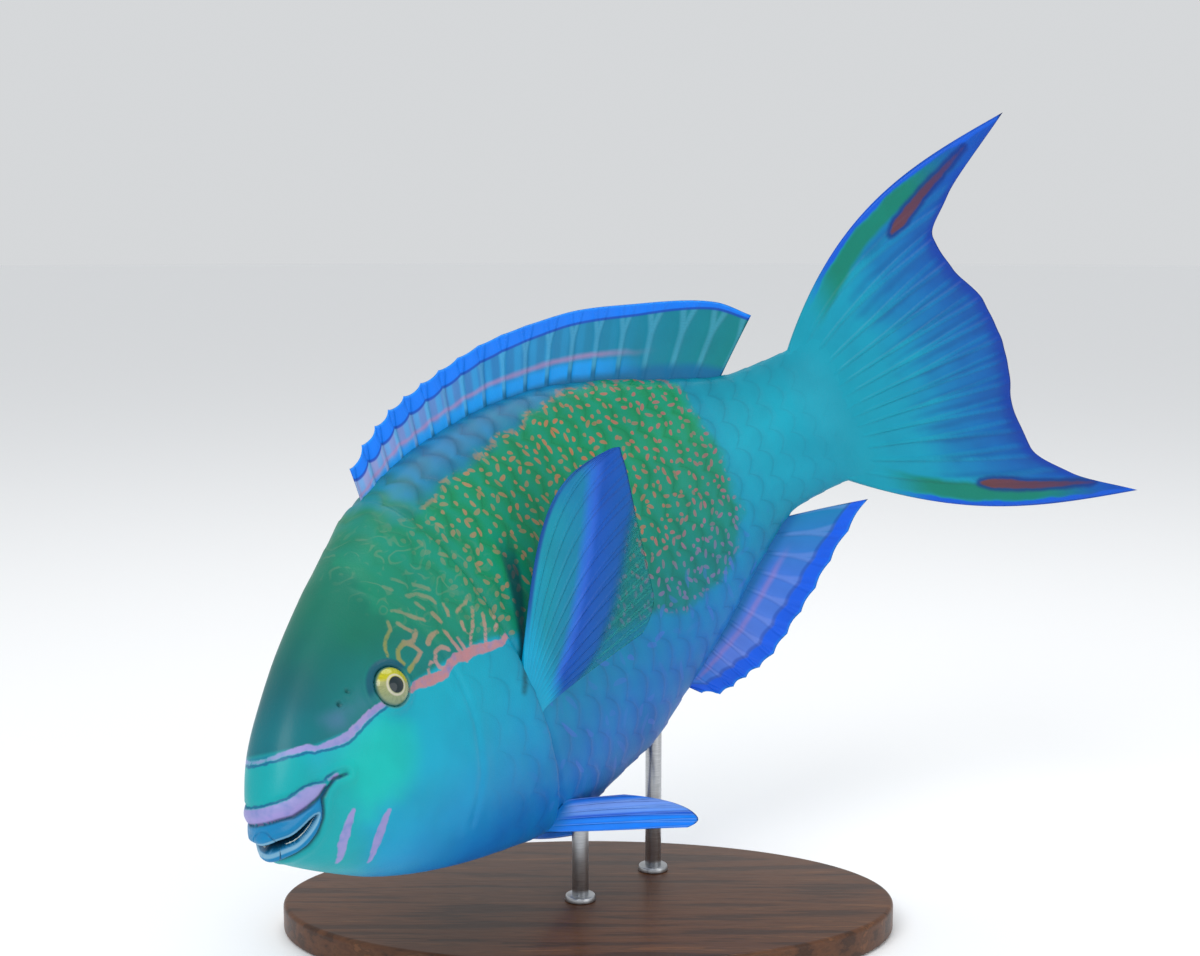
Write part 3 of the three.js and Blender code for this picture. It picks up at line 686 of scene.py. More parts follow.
DORSAL_START, DORSAL_END, DORSAL_RAYS = 0.335, 0.862, 19
SINK = 9.0
dorsal_x, dorsal_z = curve_through(DORSAL_EDGE, 1), curve_through(DORSAL_EDGE, 2)


def dorsal_path(u, v):
    root = lerp(DORSAL_START, DORSAL_END, u)
    scallop = 2.6 * (1 - smooth(u * 1.5)) * np.abs(np.sin(np.pi * u * (DORSAL_RAYS - 1))) ** 0.8
    x = lerp(root, dorsal_x(u), v) * BODY
    z = lerp(back(root) * BODY - SINK, dorsal_z(u) * BODY - scallop, v)
    wave = 0.7 * np.sin(2 * np.pi * u * (DORSAL_RAYS - 1)) * (1 - smooth(u * 1.4)) * v
    return np.stack([x, 2.5 * np.sin(3 * u + 1) * v * v + wave, z], -1)


ANAL_START, ANAL_END, ANAL_RAYS = 0.637, 0.852, 12
anal_x, anal_z = curve_through(ANAL_EDGE, 1), curve_through(ANAL_EDGE, 2)


def anal_path(u, v):
    root = lerp(ANAL_START, ANAL_END, u)
    scallop = 1.6 * np.abs(np.sin(np.pi * u * (ANAL_RAYS - 1)))
    x = lerp(root, anal_x(u), v) * BODY
    z = lerp(belly(root) * BODY + SINK, anal_z(u) * BODY + scallop * v, v)
    return np.stack([x, -3 * v * v + 0.5 * np.sin(2 * np.pi * u * (ANAL_RAYS - 1)) * v, z], -1)


TAIL_RAYS, TAIL_ROOT, TAIL_INSET = 15, 0.962, 0.03
tail_x, tail_z = curve_through(TAIL_EDGE, 1), curve_through(TAIL_EDGE, 2)


def tail_path(u, v):
    across = 2 * u - 1
    outer = np.abs(across)
    root_x = lerp(TAIL_ROOT + TAIL_INSET, TAIL_ROOT, outer**2)
    root_z = np.where(across > 0, back(root_x), -belly(root_x)) * across * 0.93
    bow = np.where(across > 0, 0.046, -0.03) * outer**5 * np.sin(np.pi * v**0.9)
    x = (lerp(root_x, tail_x(u), v) - 0.25 * np.abs(bow)) * BODY
    z = (lerp(root_z, tail_z(u), v) + bow) * BODY
    ripple = 0.6 * np.sin(2 * np.pi * u * (TAIL_RAYS - 1)) * smooth((v - 0.4) / 0.6) * (1 - outer**4)
    return np.stack([x, ripple, z], -1)


# the two rust-coloured streaks of the tail, as shares of the body's length
TAIL_STREAKS = [
    [(1.145, 0.184), (1.2, 0.215), (1.27, 0.248)],
    [(1.122, -0.158), (1.18, -0.187), (1.255, -0.216)],
]


ROOT_SUNK = 5  # how far a paired fin's root runs into the body
PECTORAL_RAYS, PECTORAL_LENGTH = 14, 147
PELVIC_RAYS, PELVIC_LENGTH = 6, 92


def paired_path(root, root_end, first, last, lengths, cup, bow, side):
    def path(u, v):
        start = lerp(root, root_end, u[..., None])
        direction = lerp(first, last, u[..., None])
        direction = direction / np.linalg.norm(direction, axis=-1, keepdims=True)
        along = lengths(u) * v - ROOT_SUNK * (1 - v)
        sag = -side * cup * np.sin(np.pi * u) * v * v
        curved = (1 - u) ** 2 * np.sin(np.pi * v)
        start = start + direction * along[..., None] + np.array(bow) * curved[..., None]
        return start + np.stack([0 * v, sag, 0 * v], -1)

    return path


def pectoral_path(side):
    def lengths(u):
        rounding = 1 - 0.13 * np.clip(1 - u / 0.24, 0, 1) ** 2 - 0.16 * np.clip((u - 0.8) / 0.2, 0, 1) ** 2
        return PECTORAL_LENGTH * rounding * lerp(1, 0.58, np.clip((u - 0.12) / 0.88, 0, 1) ** 0.74)

    return paired_path(
        surface_at(0.351 * BODY, -0.04 * BODY, side),
        surface_at(0.368 * BODY, -0.085 * BODY, side),
        np.array([0.7, 0.335 * side, 0.59]),
        np.array([0.95, 0.376 * side, 0.03]),
        lengths,
        8,
        (6.9, 0, 25.8),
        side,
    )


def pelvic_path(side):
    return paired_path(
        surface_at(0.33 * BODY, -0.222 * BODY, side),
        surface_at(0.365 * BODY, -0.205 * BODY, side),
        np.array([0.749, 0.404 * side, -0.525]),
        np.array([0.83, 0.2 * side, -0.5]),
        lambda u: PELVIC_LENGTH * (1 - 0.6 * u**3) * (1 - 0.09 * (1 - np.clip(u / 0.3, 0, 1)) ** 2),
        3,
        (-2, 0, 0),
        side,
    )


# how far out the rays of each fin begin to fork
RAY_SPLIT = {"dorsal": 0.62, "anal": 0.5, "tail": 0.3, "pectoral": 0.4, "pelvic": 0.45}
# kind, side, rays, columns a ray, rows, path; then a ray's height, the web and the swell at the root
FINS = [
    ("dorsal", "", DORSAL_RAYS, 12, 44, dorsal_path, 1.5, 0.7, 3.2),
    ("anal", "", ANAL_RAYS, 12, 44, anal_path, 1.5, 0.7, 3.2),
    ("tail", "", TAIL_RAYS, 14, 90, tail_path, 1.4, 1.0, 5.0),
]
for side, suffix in ((-1, "_left"), (1, "_right")):
    FINS.append(("pectoral", suffix, PECTORAL_RAYS, 12, 60, pectoral_path(side), 1.1, 0.5, 6.0))
    FINS.append(("pelvic", suffix, PELVIC_RAYS, 16, 50, pelvic_path(side), 1.4, 0.7, 4.5))
fins = {kind: [] for kind in RAY_SPLIT}
for fin in FINS:
    fins[fin[0]].append(fin_piece(*fin))


# Stand
BASE_ROUNDING, ROD_ROUNDING = 0.0025, 0.0005
# the collar at a rod's foot: its widths in rod radii, and its height
COLLAR_FOOT, COLLAR_TOP, COLLAR_HEIGHT = 1.9, 1.75, 0.003


def round_rims(bm, width, segments):
    rims = [e for e in bm.edges if e.calc_face_angle(0) > 1]
    settings = dict(segments=segments, profile=0.5, affect="EDGES", material=-1)
    bmesh.ops.bevel(bm, geom=rims, offset=width, **settings)


def oval_base():
    low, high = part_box("stand_base")
    bm = bmesh.new()
    bmesh.ops.create_circle(bm, cap_ends=True, radius=1, segments=192)
    size = (high - low) / 2
    centre = (high + low) / 2
    bmesh.ops.scale(bm, vec=(size.x, size.y, 1), verts=bm.verts)
    bmesh.ops.translate(bm, vec=(centre.x, centre.y, low.z), verts=bm.verts)
    grown = bmesh.ops.extrude_face_region(bm, geom=bm.faces[:])
    lifted = [v for v in grown["geom"] if isinstance(v, bmesh.types.BMVert)]
    bmesh.ops.translate(bm, vec=(0, 0, high.z - low.z), verts=lifted)
    bmesh.ops.recalc_face_normals(bm, faces=bm.faces)
    round_rims(bm, BASE_ROUNDING, 5)
    piece = finished(mesh_piece("stand_oval_base", bm))
    return carry(piece, "stand_wood", "stand_base")


def steel_rod(node):
    low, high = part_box(node)
    centre = (low + high) / 2
    radius = (high.x - low.x) / 2
    bm = bmesh.new()
    length = high.z - low.z + 0.001
    bmesh.ops.create_cone(bm, cap_ends=True, segments=48, radius1=radius, radius2=radius, depth=length)
    bmesh.ops.translate(bm, vec=(centre.x, centre.y, centre.z), verts=bm.verts)
    collar = dict(radius1=radius * COLLAR_FOOT, radius2=radius * COLLAR_TOP, depth=COLLAR_HEIGHT)
    ring = bmesh.ops.create_cone(bm, cap_ends=True, segments=48, **collar)
    bmesh.ops.translate(bm, vec=(centre.x, centre.y, low.z + 0.0013), verts=ring["verts"])
    round_rims(bm, ROD_ROUNDING, 2)
    piece = finished(mesh_piece(node + "_turned", bm))
    return carry(piece, "stand_rod", node)


base = oval_base()
rods = [steel_rod("stand_rod_front"), steel_rod("stand_rod_rear")]


# Camera, floor and light
CAMERA_DOWN, CAMERA_LENS = math.radians(8), 56.15
CAMERA_FROM_SNOUT = Vector((0.14628, -0.79539, 0.27633))
FLOOR_RADIUS, FLOOR_DROP = 14, 0.0002
LIT_PLACE = Vector((0, 0, 0.2))
camera = bpy.data.objects.new("camera", bpy.data.cameras.new("camera"))
bpy.context.scene.collection.objects.link(camera)
camera.location = Vector(SNOUT / 1000) + CAMERA_FROM_SNOUT
camera.rotation_euler = (math.pi / 2 - CAMERA_DOWN, 0, 0)
camera.data.sensor_width = 36
camera.data.lens = CAMERA_LENS
camera.data.clip_start = 0.01
bpy.context.scene.camera = camera


def floor_disc():
    bm = bmesh.new()
    bmesh.ops.create_circle(bm, cap_ends=True, radius=FLOOR_RADIUS, segments=96)
    bmesh.ops.translate(bm, vec=(0, 0, -FLOOR_DROP), verts=bm.verts)
    piece = mesh_piece("floor", bm)
    return piece


floor = floor_disc()


def soft_light(name, place, size, watts):
    data = bpy.data.lights.new(name, "AREA")
    data.shape = "DISK"
    data.size = size
    data.energy = watts
    lamp = bpy.data.objects.new(name, data)
    bpy.context.scene.collection.objects.link(lamp)
    lamp.location = place
    lamp.rotation_euler = (LIT_PLACE - Vector(place)).to_track_quat("-Z", "Y").to_euler()


soft_light("key", (-0.7, -1.3, 1.5), 1.1, 15)
soft_light("fill", (1.4, -1.1, 0.8), 1.4, 5)
soft_light("top", (0.2, 0.4, 1.8), 1.2, 8)

world = bpy.data.worlds.new("studio")
bpy.context.scene.world = world
world.use_nodes = True
sky = world.node_tree.nodes["Background"].inputs
sky["Color"].default_value = (0.93, 0.95, 0.97, 1)
sky["Strength"].default_value = 0.72
bpy.context.scene.view_settings.view_transform = "Standard"


# Materials: colours are given from 0 to 255 and turned into linear light here
def tint(red, green, blue):
    return tuple((c / 255) ** 2.2 for c in (red, green, blue)) + (1,)


class Nodes:
    """Places and links the nodes of one material or group."""

    def __init__(self, tree):
        self.tree = tree

    def node(self, kind, **settings):
        made = self.tree.nodes.new(kind)
        for key, value in settings.items():
            setattr(made, key, value)
        return made

    def feed(self, socket, value):
        if isinstance(value, bpy.types.NodeSocket):
            self.tree.links.new(value, socket)
        else:
            socket.default_value = value

    def made(self, kind, inputs, **settings):
        """The outputs of a new node, with its inputs set or linked."""
        node = self.node(kind, **settings)
        for key, value in inputs.items():
            self.feed(node.inputs[key], value)
        return node.outputs

    def math(self, operation, first, second=0):
        return self.made("ShaderNodeMath", {0: first, 1: second}, operation=operation)[0]

    def add(self, first, second):
        return self.math("ADD", first, second)

    def minus(self, first, second):
        return self.math("SUBTRACT", first, second)

    def times(self, first, *others):
        for other in others:
            first = self.math("MULTIPLY", first, other)
        return first

    def fade(self, value, low, high):
        """0 at low, 1 at high, smooth between."""
        inputs = {"Value": value, "From Min": low, "From Max": high}
        return self.made("ShaderNodeMapRange", inputs, interpolation_type="SMOOTHSTEP")["Result"]

    def band(self, value, low, high, soft):
        """1 between low and high, 0 outside."""
        begun = self.fade(value, low - soft, low + soft)
        return self.times(begun, self.fade(value, high + soft, high - soft))

    def mix(self, factor, first, second, blend="MIX"):
        inputs = {0: factor, 6: first, 7: second}
        return self.made("ShaderNodeMix", inputs, data_type="RGBA", blend_type=blend)[2]

    def over(self, colour, other, *masks):
        """Another colour laid over one, as far as the product of the masks."""
        return self.mix(self.times(*masks), colour, tint(*other))

    def shade(self, colour, factor, strength):
        """Darkens a colour where the factor is high."""
        return self.mix(self.times(factor, strength), colour, (0.1, 0.14, 0.2, 1), "MULTIPLY")

    def stops(self, value, *stops):
        """A colour through stops of (value, red, green, blue)."""
        return self.ramp(value, [(at, tint(*colour)) for at, *colour in stops])

    def ramp(self, value, stops):
        """A colour through stops of (value, linear colour)."""
        first, last = stops[0][0], stops[-1][0]
        inputs = {"Value": value, "From Min": first, "From Max": last}
        ramp = self.node("ShaderNodeValToRGB")
        self.feed(ramp.inputs[0], self.made("ShaderNodeMapRange", inputs)["Result"])
        elements = ramp.color_ramp.elements
        while len(elements) < len(stops):
            elements.new(0.5)
        for element, (at, colour) in zip(elements, stops):
            element.position = (at - first) / (last - first)
            element.color = colour
        return ramp.outputs["Color"]

    def line(self, value, *points):
        """A number through points of (value, number)."""
        low, high = min(p[1] for p in points), max(p[1] for p in points)
        grey = [(at, ((n - low) / (high - low),) * 3 + (1,)) for at, n in points]
        share = self.ramp(value, grey)
        return self.add(self.times(share, high - low), low)

    def noise(self, vector, scale, detail=2, rough=0.5):
        inputs = {"Vector": vector, "Scale": scale, "Detail": detail, "Roughness": rough}
        return self.made("ShaderNodeTexNoise", inputs)["Fac"]

    def wobble(self, vector, scale, detail, size):
        """Noise about zero, of the given size."""
        return self.times(self.minus(self.noise(vector, scale, detail), 0.5), size)

    def attribute(self, name):
        """An attribute whole, and its three parts."""
        whole = self.node("ShaderNodeAttribute", attribute_name=name).outputs["Vector"]
        return whole, *self.made("ShaderNodeSeparateXYZ", {0: whole})

    def vector(self, x, y, z=0):
        return self.made("ShaderNodeCombineXYZ", {0: x, 1: y, 2: z})[0]

    def objects(self):
        return self.node("ShaderNodeTexCoord").outputs["Object"]

    def group(self, tree, **values):
        return self.made("ShaderNodeGroup", values, node_tree=tree)

    def bump(self, height, distance, strength=1):
        inputs = {"Height": height, "Distance": distance, "Strength": strength}
        return self.made("ShaderNodeBump", inputs)["Normal"]


def new_finish(name, roughness, coat=0, coat_roughness=0.1, specular=0.5, metallic=0):
    material = bpy.data.materials.new(name)
    material.use_nodes = True
    inputs = material.node_tree.nodes["Principled BSDF"].inputs
    inputs["Roughness"].default_value = roughness
    inputs["Specular IOR Level"].default_value = specular
    inputs["Coat Weight"].default_value = coat
    inputs["Coat Roughness"].default_value = coat_roughness
    inputs["Metallic"].default_value = metallic
    return material, inputs, Nodes(material.node_tree)


def new_group(name, inputs, outputs):
    """A group of nodes; its sockets are numbers, apart from the one named Vector."""
    tree = bpy.data.node_groups.new(name, "ShaderNodeTree")
    for direction, sockets in (("INPUT", inputs), ("OUTPUT", outputs)):
        for socket in sockets:
            kind = "NodeSocketVector" if socket == "Vector" else "NodeSocketFloat"
            tree.interface.new_socket(socket, in_out=direction, socket_type=kind)
    nodes = Nodes(tree)
    return tree, nodes, nodes.node("NodeGroupInput").outputs, nodes.node("NodeGroupOutput").inputs


def make_fine_grain():
    """Fine pores and mottling: Fine for bump, Cloud for slow changes of colour and gloss."""
    tree, n, into, out = new_group("fine_grain", ["Vector", "Grain", "Cloud Size"], ["Fine", "Cloud"])
    n.feed(out["Fine"], n.noise(into["Vector"], into["Grain"], 3, 0.6))
    n.feed(out["Cloud"], n.noise(into["Vector"], into["Cloud Size"], 2))
    return tree


def make_fin_rays():
    """Rays of a fin: Ray is 1 on a ray, which forks past Split; Joint marks the joints across it."""
    tree, n, into, out = new_group("fin_rays", ["Across", "Out", "Split"], ["Ray", "Joint"])
    nearest = n.math("ROUND", into["Across"])
    off = n.math("ABSOLUTE", n.minus(into["Across"], nearest))
    fork = n.times(n.fade(into["Out"], into["Split"], 1), RAY_FORK)
    away = n.math("ABSOLUTE", n.minus(off, fork))
    n.feed(out["Ray"], n.fade(away, 0.16, 0.03))
    steps = n.math("SINE", n.times(into["Out"], 190))
    n.feed(out["Joint"], n.times(n.fade(steps, 0.5, 1), n.fade(into["Out"], 0.3, 0.5)))
    return tree


fine_grain = make_fine_grain()
fin_rays = make_fin_rays()


def grained(n, place, grain, cloud_size):
    return n.group(fine_grain, **{"Vector": place, "Grain": grain, "Cloud Size": cloud_size})


def scale_pattern(n, s, t):
    """Rows of overlapping scales: height from 0 at a scale's root to 1 at its edge, and more past it."""

    def edge(column):
        offset = n.times(n.math("PINGPONG", column, 1), 0.5)
        moved = n.minus(t, offset)
        across = n.minus(moved, n.math("ROUND", moved))
        arc = n.minus(1, n.times(across, across, 4))
        return n.add(column, n.times(arc, 0.5))

    column = n.math("FLOOR", s)
    passed = n.math("GREATER_THAN", s, edge(column))
    top = n.add(column, passed)
    start = edge(n.minus(top, 1))
    end = edge(top)
    rise = n.math("DIVIDE", n.minus(s, start), n.minus(end, start))
    return n.math("MAXIMUM", rise, 0)


def dashes(n, across, along, size, fill, seed):
    """Short strokes scattered at random, each turned its own way: a mask, and a random value for each."""
    place = n.vector(across, along, seed)
    inputs = {"Vector": place, "Scale": 1 / size, "Randomness": 0.8}
    cells = n.made("ShaderNodeTexVoronoi", inputs, voronoi_dimensions="2D", feature="F1")
    offset = n.made("ShaderNodeVectorMath", {0: place, 1: cells["Position"]}, operation="SUBTRACT")[0]
    random = n.made("ShaderNodeSeparateColor", {0: cells["Color"]})
    inputs = {"Vector": offset, "Angle": n.times(random[0], 6.2)}
    turned = n.made("ShaderNodeVectorRotate", inputs, rotation_type="Z_AXIS")[0]
    parts = n.made("ShaderNodeSeparateXYZ", {0: turned})
    longest = n.add(n.times(random[1], 0.3 * size), 0.17 * size)
    u = n.math("DIVIDE", parts[0], longest)
    v = n.math("DIVIDE", n.add(parts[1], n.times(u, u, 0.05 * size)), fill * size)
    reach = n.add(n.times(u, u), n.times(v, v))
    return n.fade(reach, 1.25, 0.7), random[2]


# about one scale in millimetres, to lay the spots out by
SCALE_HEIGHT, SCALE_LENGTH = 20, 15


def skin_finish():
    material, inputs, n = new_finish("parrotfish_skin", 0.42, 0.1, 0.2, 0.22)
    place, fish_x, _, fish_z = n.attribute("fish")
    _, pink, patch, eye = n.attribute("marks")
    _, s, t, scaly = n.attribute("scales")
    _, wide, crease, lips = n.attribute("mouth")
    _, network, axil_shade, up_axil_shade = n.attribute("lines")
    grain = grained(n, place, 900, 38)
    true_x, true_z = n.times(fish_x, 1000), n.times(fish_z, 1000)
    wander = n.minus(n.noise(place, 60, 3), 0.5)
    x = n.add(true_x, n.times(wander, 14))
    z = n.add(true_z, n.times(wander, 14))

    # trunk, from the belly to the back
    colour = n.stops(
        z,
        (-115, 0, 92, 176), (-80, 0, 106, 186), (-45, 0, 128, 178), (-5, 0, 138, 168),
        (45, 0, 132, 160), (85, 0, 104, 140), (110, 0, 84, 134),
    )
    stalk = n.stops(z, (-50, 0, 118, 150), (-20, 0, 150, 178), (15, 0, 158, 182), (45, 0, 128, 150))
    colour = n.mix(n.fade(x, 350, 400), colour, stalk)

    # cheek and jaw
    cheek = n.stops(z, (-75, 0, 106, 178), (-45, 0, 142, 192), (-15, 0, 160, 192), (12, 0, 160, 182))
    colour = n.mix(n.fade(x, 175, 120), colour, cheek)
    glow_x = n.times(n.minus(x, 52), 1 / 30)
    glow_z = n.times(n.minus(z, 4), 1 / 24)
    glow = n.fade(n.add(n.times(glow_x, glow_x), n.times(glow_z, glow_z)), 1.3, 0)
    colour = n.over(colour, (0, 186, 174), glow, 0.85)
    colour = n.over(colour, (0, 158, 158), n.fade(x, 44, 20), 0.8)

    # forehead, above the stripe and the band behind the eye
    brow = n.line(true_x, (0, 33), (20, 34), (34, 27), (50, 23), (75, 24), (100, 20), (140, 14), (185, -2))
    above = n.minus(true_z, brow)
    forehead = n.stops(x, (0, 0, 76, 112), (30, 0, 84, 100), (85, 6, 106, 88), (150, 22, 124, 94))
    forehead = n.over(forehead, (0, 122, 128), n.fade(above, 34, 6), 0.5)
    colour = n.mix(n.times(n.fade(above, -1, 2.5), n.fade(x, 200, 140)), colour, forehead)
    haze = n.times(n.band(above, 3, 12, 4), n.band(x, 44, 74, 7))
    colour = n.over(colour, (96, 124, 176), haze, n.fade(grain["Cloud"], 0.3, 0.7), 0.4)

    # green patch of the flank
    ragged = n.add(patch, n.times(wander, 16))
    green = n.stops(z, (-50, 0, 118, 120), (-15, 0, 126, 104), (35, 0, 134, 88), (80, 0, 130, 86))
    green = n.over(green, (20, 126, 98), n.fade(x, 190, 120))
    colour = n.mix(n.fade(ragged, -4, 4), colour, green)

    # scales: paler middles, darker edges, bluer along the back
    rise = scale_pattern(n, s, t)
    rim = n.times(n.band(rise, 0.9, 1.2, 0.08), scaly)
    colour = n.shade(colour, rim, 0.14)
    colour = n.over(colour, (0, 180, 205), n.band(rise, 0.25, 0.7, 0.2), scaly, 0.1)
    backward = n.times(n.fade(z, 78, 92), n.fade(x, 130, 170))
    blotch = n.times(backward, n.band(rise, 0.3, 0.85, 0.25), n.fade(grain["Cloud"], 0.4, 0.65))
    colour = n.over(colour, (0, 128, 190), blotch, 0.5)

    # spots of the flank, orange in front and mauve to the rear, few and lilac below
    arc, run = n.times(t, SCALE_HEIGHT), n.times(s, SCALE_LENGTH)
    spot, luck = dashes(n, run, arc, 6.3, 0.185, 0)
    spot_colour = n.stops(x, (150, 154, 130, 98), (290, 178, 110, 76), (365, 156, 94, 104))
    spot_colour = n.over(spot_colour, (120, 110, 158), n.fade(z, 5, -45))
    rim_spot = n.times(n.band(ragged, -1, 1.6, 1.2), n.fade(n.noise(place, 210, 1), 0.5, 0.58))
    rim_spot = n.times(rim_spot, n.fade(z, 30, 55))
    shown = n.times(spot, n.fade(ragged, -1.5, 1.5))
    shown = n.math("MAXIMUM", n.times(shown, n.add(n.times(luck, 0.4), 0.5)), n.times(rim_spot, 0.55))
    shown = n.times(shown, n.fade(x, 130, 180))
    colour = n.mix(shown, colour, spot_colour)
    sparse, chance = dashes(n, run, arc, 15, 0.1, 3)
    belly_zone = n.times(n.fade(z, -28, -45), n.fade(x, 130, 170))
    colour = n.over(colour, (70, 110, 205), sparse, belly_zone, chance, 0.6)

    # the stalk's end takes on the colour of the tail fin's root
    colour = n.over(colour, (0, 148, 172), n.fade(true_x, 415, 450))

    # fine wandering lines over the nape, and the bolder ones behind the eye
    curl_place = n.vector(n.times(true_x, 0.8), arc)
    curl = n.noise(curl_place, 0.085, 1)
    ripples = n.math("PINGPONG", n.times(curl, 6.5), 0.5)
    worm = n.fade(ripples, 0.2, 0.08)
    broken = n.fade(n.noise(curl_place, 0.17, 1), 0.44, 0.56)
    nape = n.times(n.band(x, 104, 176, 14), n.band(above, 24, 72, 14))
    colour = n.over(colour, (120, 140, 112), worm, broken, nape, 0.26)
    fray = n.wobble(place, 260, 2, 1.6)
    web = n.fade(n.add(network, fray), 0.5, -0.4)
    web_colour = n.stops(above, (0, 176, 136, 140), (14, 160, 134, 108), (40, 122, 136, 108))
    web_colour = n.over(web_colour, (140, 140, 76), n.fade(true_x, 108, 96))
    colour = n.mix(n.times(web, n.line(above, (0, 0.9), (20, 0.8), (48, 0.4))), colour, web_colour)

    # painted shade before the pectoral fin: a dark streak for the shadow in the fin's axil
    streak = n.minus(axil_shade, n.line(up_axil_shade, (0, 0.6), (0.3, 2), (1, 6)))
    streak = n.times(n.fade(streak, 3, -1.5), n.fade(up_axil_shade, 1, 0.7))
    colour = n.over(colour, (0, 66, 74), streak, 0.85)

    # stripes, bands and bars
    frayed = n.add(pink, n.wobble(place, 330, 2, 1.6))
    under = n.times(n.band(above, -7, 0, 1.2), n.fade(true_x, 88, 70))
    over_lip = n.times(n.band(true_z, 13, 19, 1.2), n.fade(true_x, 36, 30))
    edged = n.times(n.band(frayed, 0.2, 1.4, 0.4), n.math("MAXIMUM", under, over_lip))
    colour = n.over(colour, (0, 66, 128), edged, 0.7)
    stripe = n.stops(
        true_x, (12, 152, 142, 202), (45, 150, 142, 198), (75, 158, 134, 184), (90, 180, 124, 130)
    )
    stripe = n.over(stripe, (104, 124, 188), n.fade(n.noise(place, 160, 2), 0.45, 0.9))
    thin = n.line(true_x, (14, 0.45), (26, 0.95), (120, 0.95), (162, 0.8))
    thin = n.math("MAXIMUM", thin, n.times(n.fade(true_z, 24, 20), 0.92))
    colour = n.mix(n.times(n.fade(frayed, 0.45, -0.45), thin), colour, stripe)

    # round the eye, the lips and the mouth
    gap = n.times(n.fade(crease, 4.2, 2.6), n.band(true_z, 2.5, 15, 1), n.fade(true_x, 17, 13))
    colour = n.mix(n.times(gap, n.fade(lips, 0.6, 0.2)), colour, stripe)
    over_eye = n.minus(true_z, EYE_Z * BODY)
    lid = n.times(n.band(eye, 9.2, 13.4, 0.9), n.fade(over_eye, 0.5, 5))
    colour = n.over(colour, (0, 78, 98), lid, 0.9)
    ring = n.times(n.band(eye, 8.6, 10.4, 0.5), n.fade(over_eye, 2, -3))
    colour = n.over(colour, (96, 150, 140), ring, 0.6)
    colour = n.over(colour, (0, 112, 178), lips, n.fade(pink, 0.2, 1), 0.8)
    # painted highlight: a pale band on the rim of the lips round the open mouth
    colour = n.over(colour, (150, 196, 214), n.band(wide, -1.3, -0.2, 0.3), 0.55)
    # painted shade in the jaw crease and the lip fold, near the mouth
    fold_shade = n.times(n.fade(crease, 1.5, 0.2), n.fade(true_x, 42, 34))
    colour = n.shade(colour, fold_shade, 0.85)
    # painted shade: near black inside the open mouth
    colour = n.over(colour, (14, 30, 36), n.fade(wide, -0.15, 0.35))
    colour = n.shade(colour, n.fade(grain["Cloud"], 0.3, 0.85), 0.16)
    n.feed(inputs["Base Color"], colour)

    n.feed(inputs["Roughness"], n.add(0.34, n.times(grain["Cloud"], 0.2)))
    height = n.times(n.math("POWER", rise, 1.6), scaly, 0.3)
    height = n.times(height, n.fade(rise, 1.25, 1))
    height = n.add(height, n.times(grain["Fine"], 0.22))
    n.feed(inputs["Normal"], n.bump(height, 0.0007, 0.8))
    return material


def fin_finish(name, split, paint):
    """paint gives the colour and the opacity from the fin's own measures."""
    material, inputs, n = new_finish(name, 0.42, 0.08, 0.25, 0.22)
    _, across, out, share = n.attribute("fin")
    _, edge, lead, streak = n.attribute("margin")
    place, fish_x, _, _ = n.attribute("fish")
    rays = n.group(fin_rays, **{"Across": across, "Out": out, "Split": split})
    grain = grained(n, place, 700, 55)
    measures = SimpleNamespace(across=across, out=out, share=share, edge=edge, lead=lead, streak=streak)
    measures.place, measures.ray, measures.cloud = place, rays["Ray"], grain["Cloud"]
    measures.fish_x = n.times(fish_x, 1000)
    colour, opacity = paint(n, measures)
    colour = n.shade(colour, n.fade(grain["Cloud"], 0.3, 0.9), 0.14)
    n.feed(inputs["Base Color"], colour)
    if opacity is not None:
        n.feed(inputs["Alpha"], opacity)
    height = n.add(n.times(rays["Ray"], n.fade(out, 0.04, 0.36), 0.7), n.times(grain["Fine"], 0.2))
    height = n.minus(height, n.times(rays["Joint"], rays["Ray"], 0.15))
    n.feed(inputs["Normal"], n.bump(height, 0.0008, 0.7))
    return material


# how far out along their rays the dorsal and anal fins leave the skin
SKIN_LEVEL = 0.2


def above_skin(n, out):
    return n.times(n.minus(out, SKIN_LEVEL), 1 / (1 - SKIN_LEVEL))


def paint_dorsal(n, p):
    rise = n.add(above_skin(n, p.out), n.times(n.minus(p.cloud, 0.5), 0.1))
    web = n.stops(
        p.share,
        (0, 150, 156, 208), (0.2, 108, 136, 196), (0.45, 40, 122, 184), (0.75, 0, 122, 156),
        (1, 0, 124, 128),
    )
    fine = n.fade(n.math("PINGPONG", n.times(p.across, 3), 1), 0.3, 0.8)
    colour = n.mix(n.times(fine, n.fade(p.share, 0.9, 0.3)), web, n.over(web, (40, 170, 232), 0.45))
    colour = n.over(colour, (96, 180, 216), p.ray, 0.3)
    foot = n.fade(p.share, 0.86, 0.7)
    blotch = n.times(n.band(rise, 0.04, 0.26, 0.07), n.fade(p.ray, 0.9, 0.1))
    colour = n.over(colour, (0, 104, 150), n.fade(rise, 0.2, 0.06))
    colour = n.over(colour, (0, 150, 235), blotch, foot, 0.9)
    pink = n.times(n.band(rise, 0.3, 0.36, 0.04), foot)
    colour = n.over(colour, (168, 128, 176), pink, 0.7)
    low_edge = n.line(p.share, (0, 6), (0.08, 10), (0.5, 9), (0.8, 6.5), (1, 2.5))
    inner = n.minus(p.edge, low_edge)
    colour = n.over(colour, (8, 118, 236), n.fade(inner, 0.8, -0.6))
    colour = n.over(colour, (0, 66, 170), n.band(inner, -0.6, 0.9, 0.5), 0.85)
    colour = n.over(colour, (30, 150, 250), n.fade(p.edge, 1.6, 0.3), 0.6)
    return colour, None


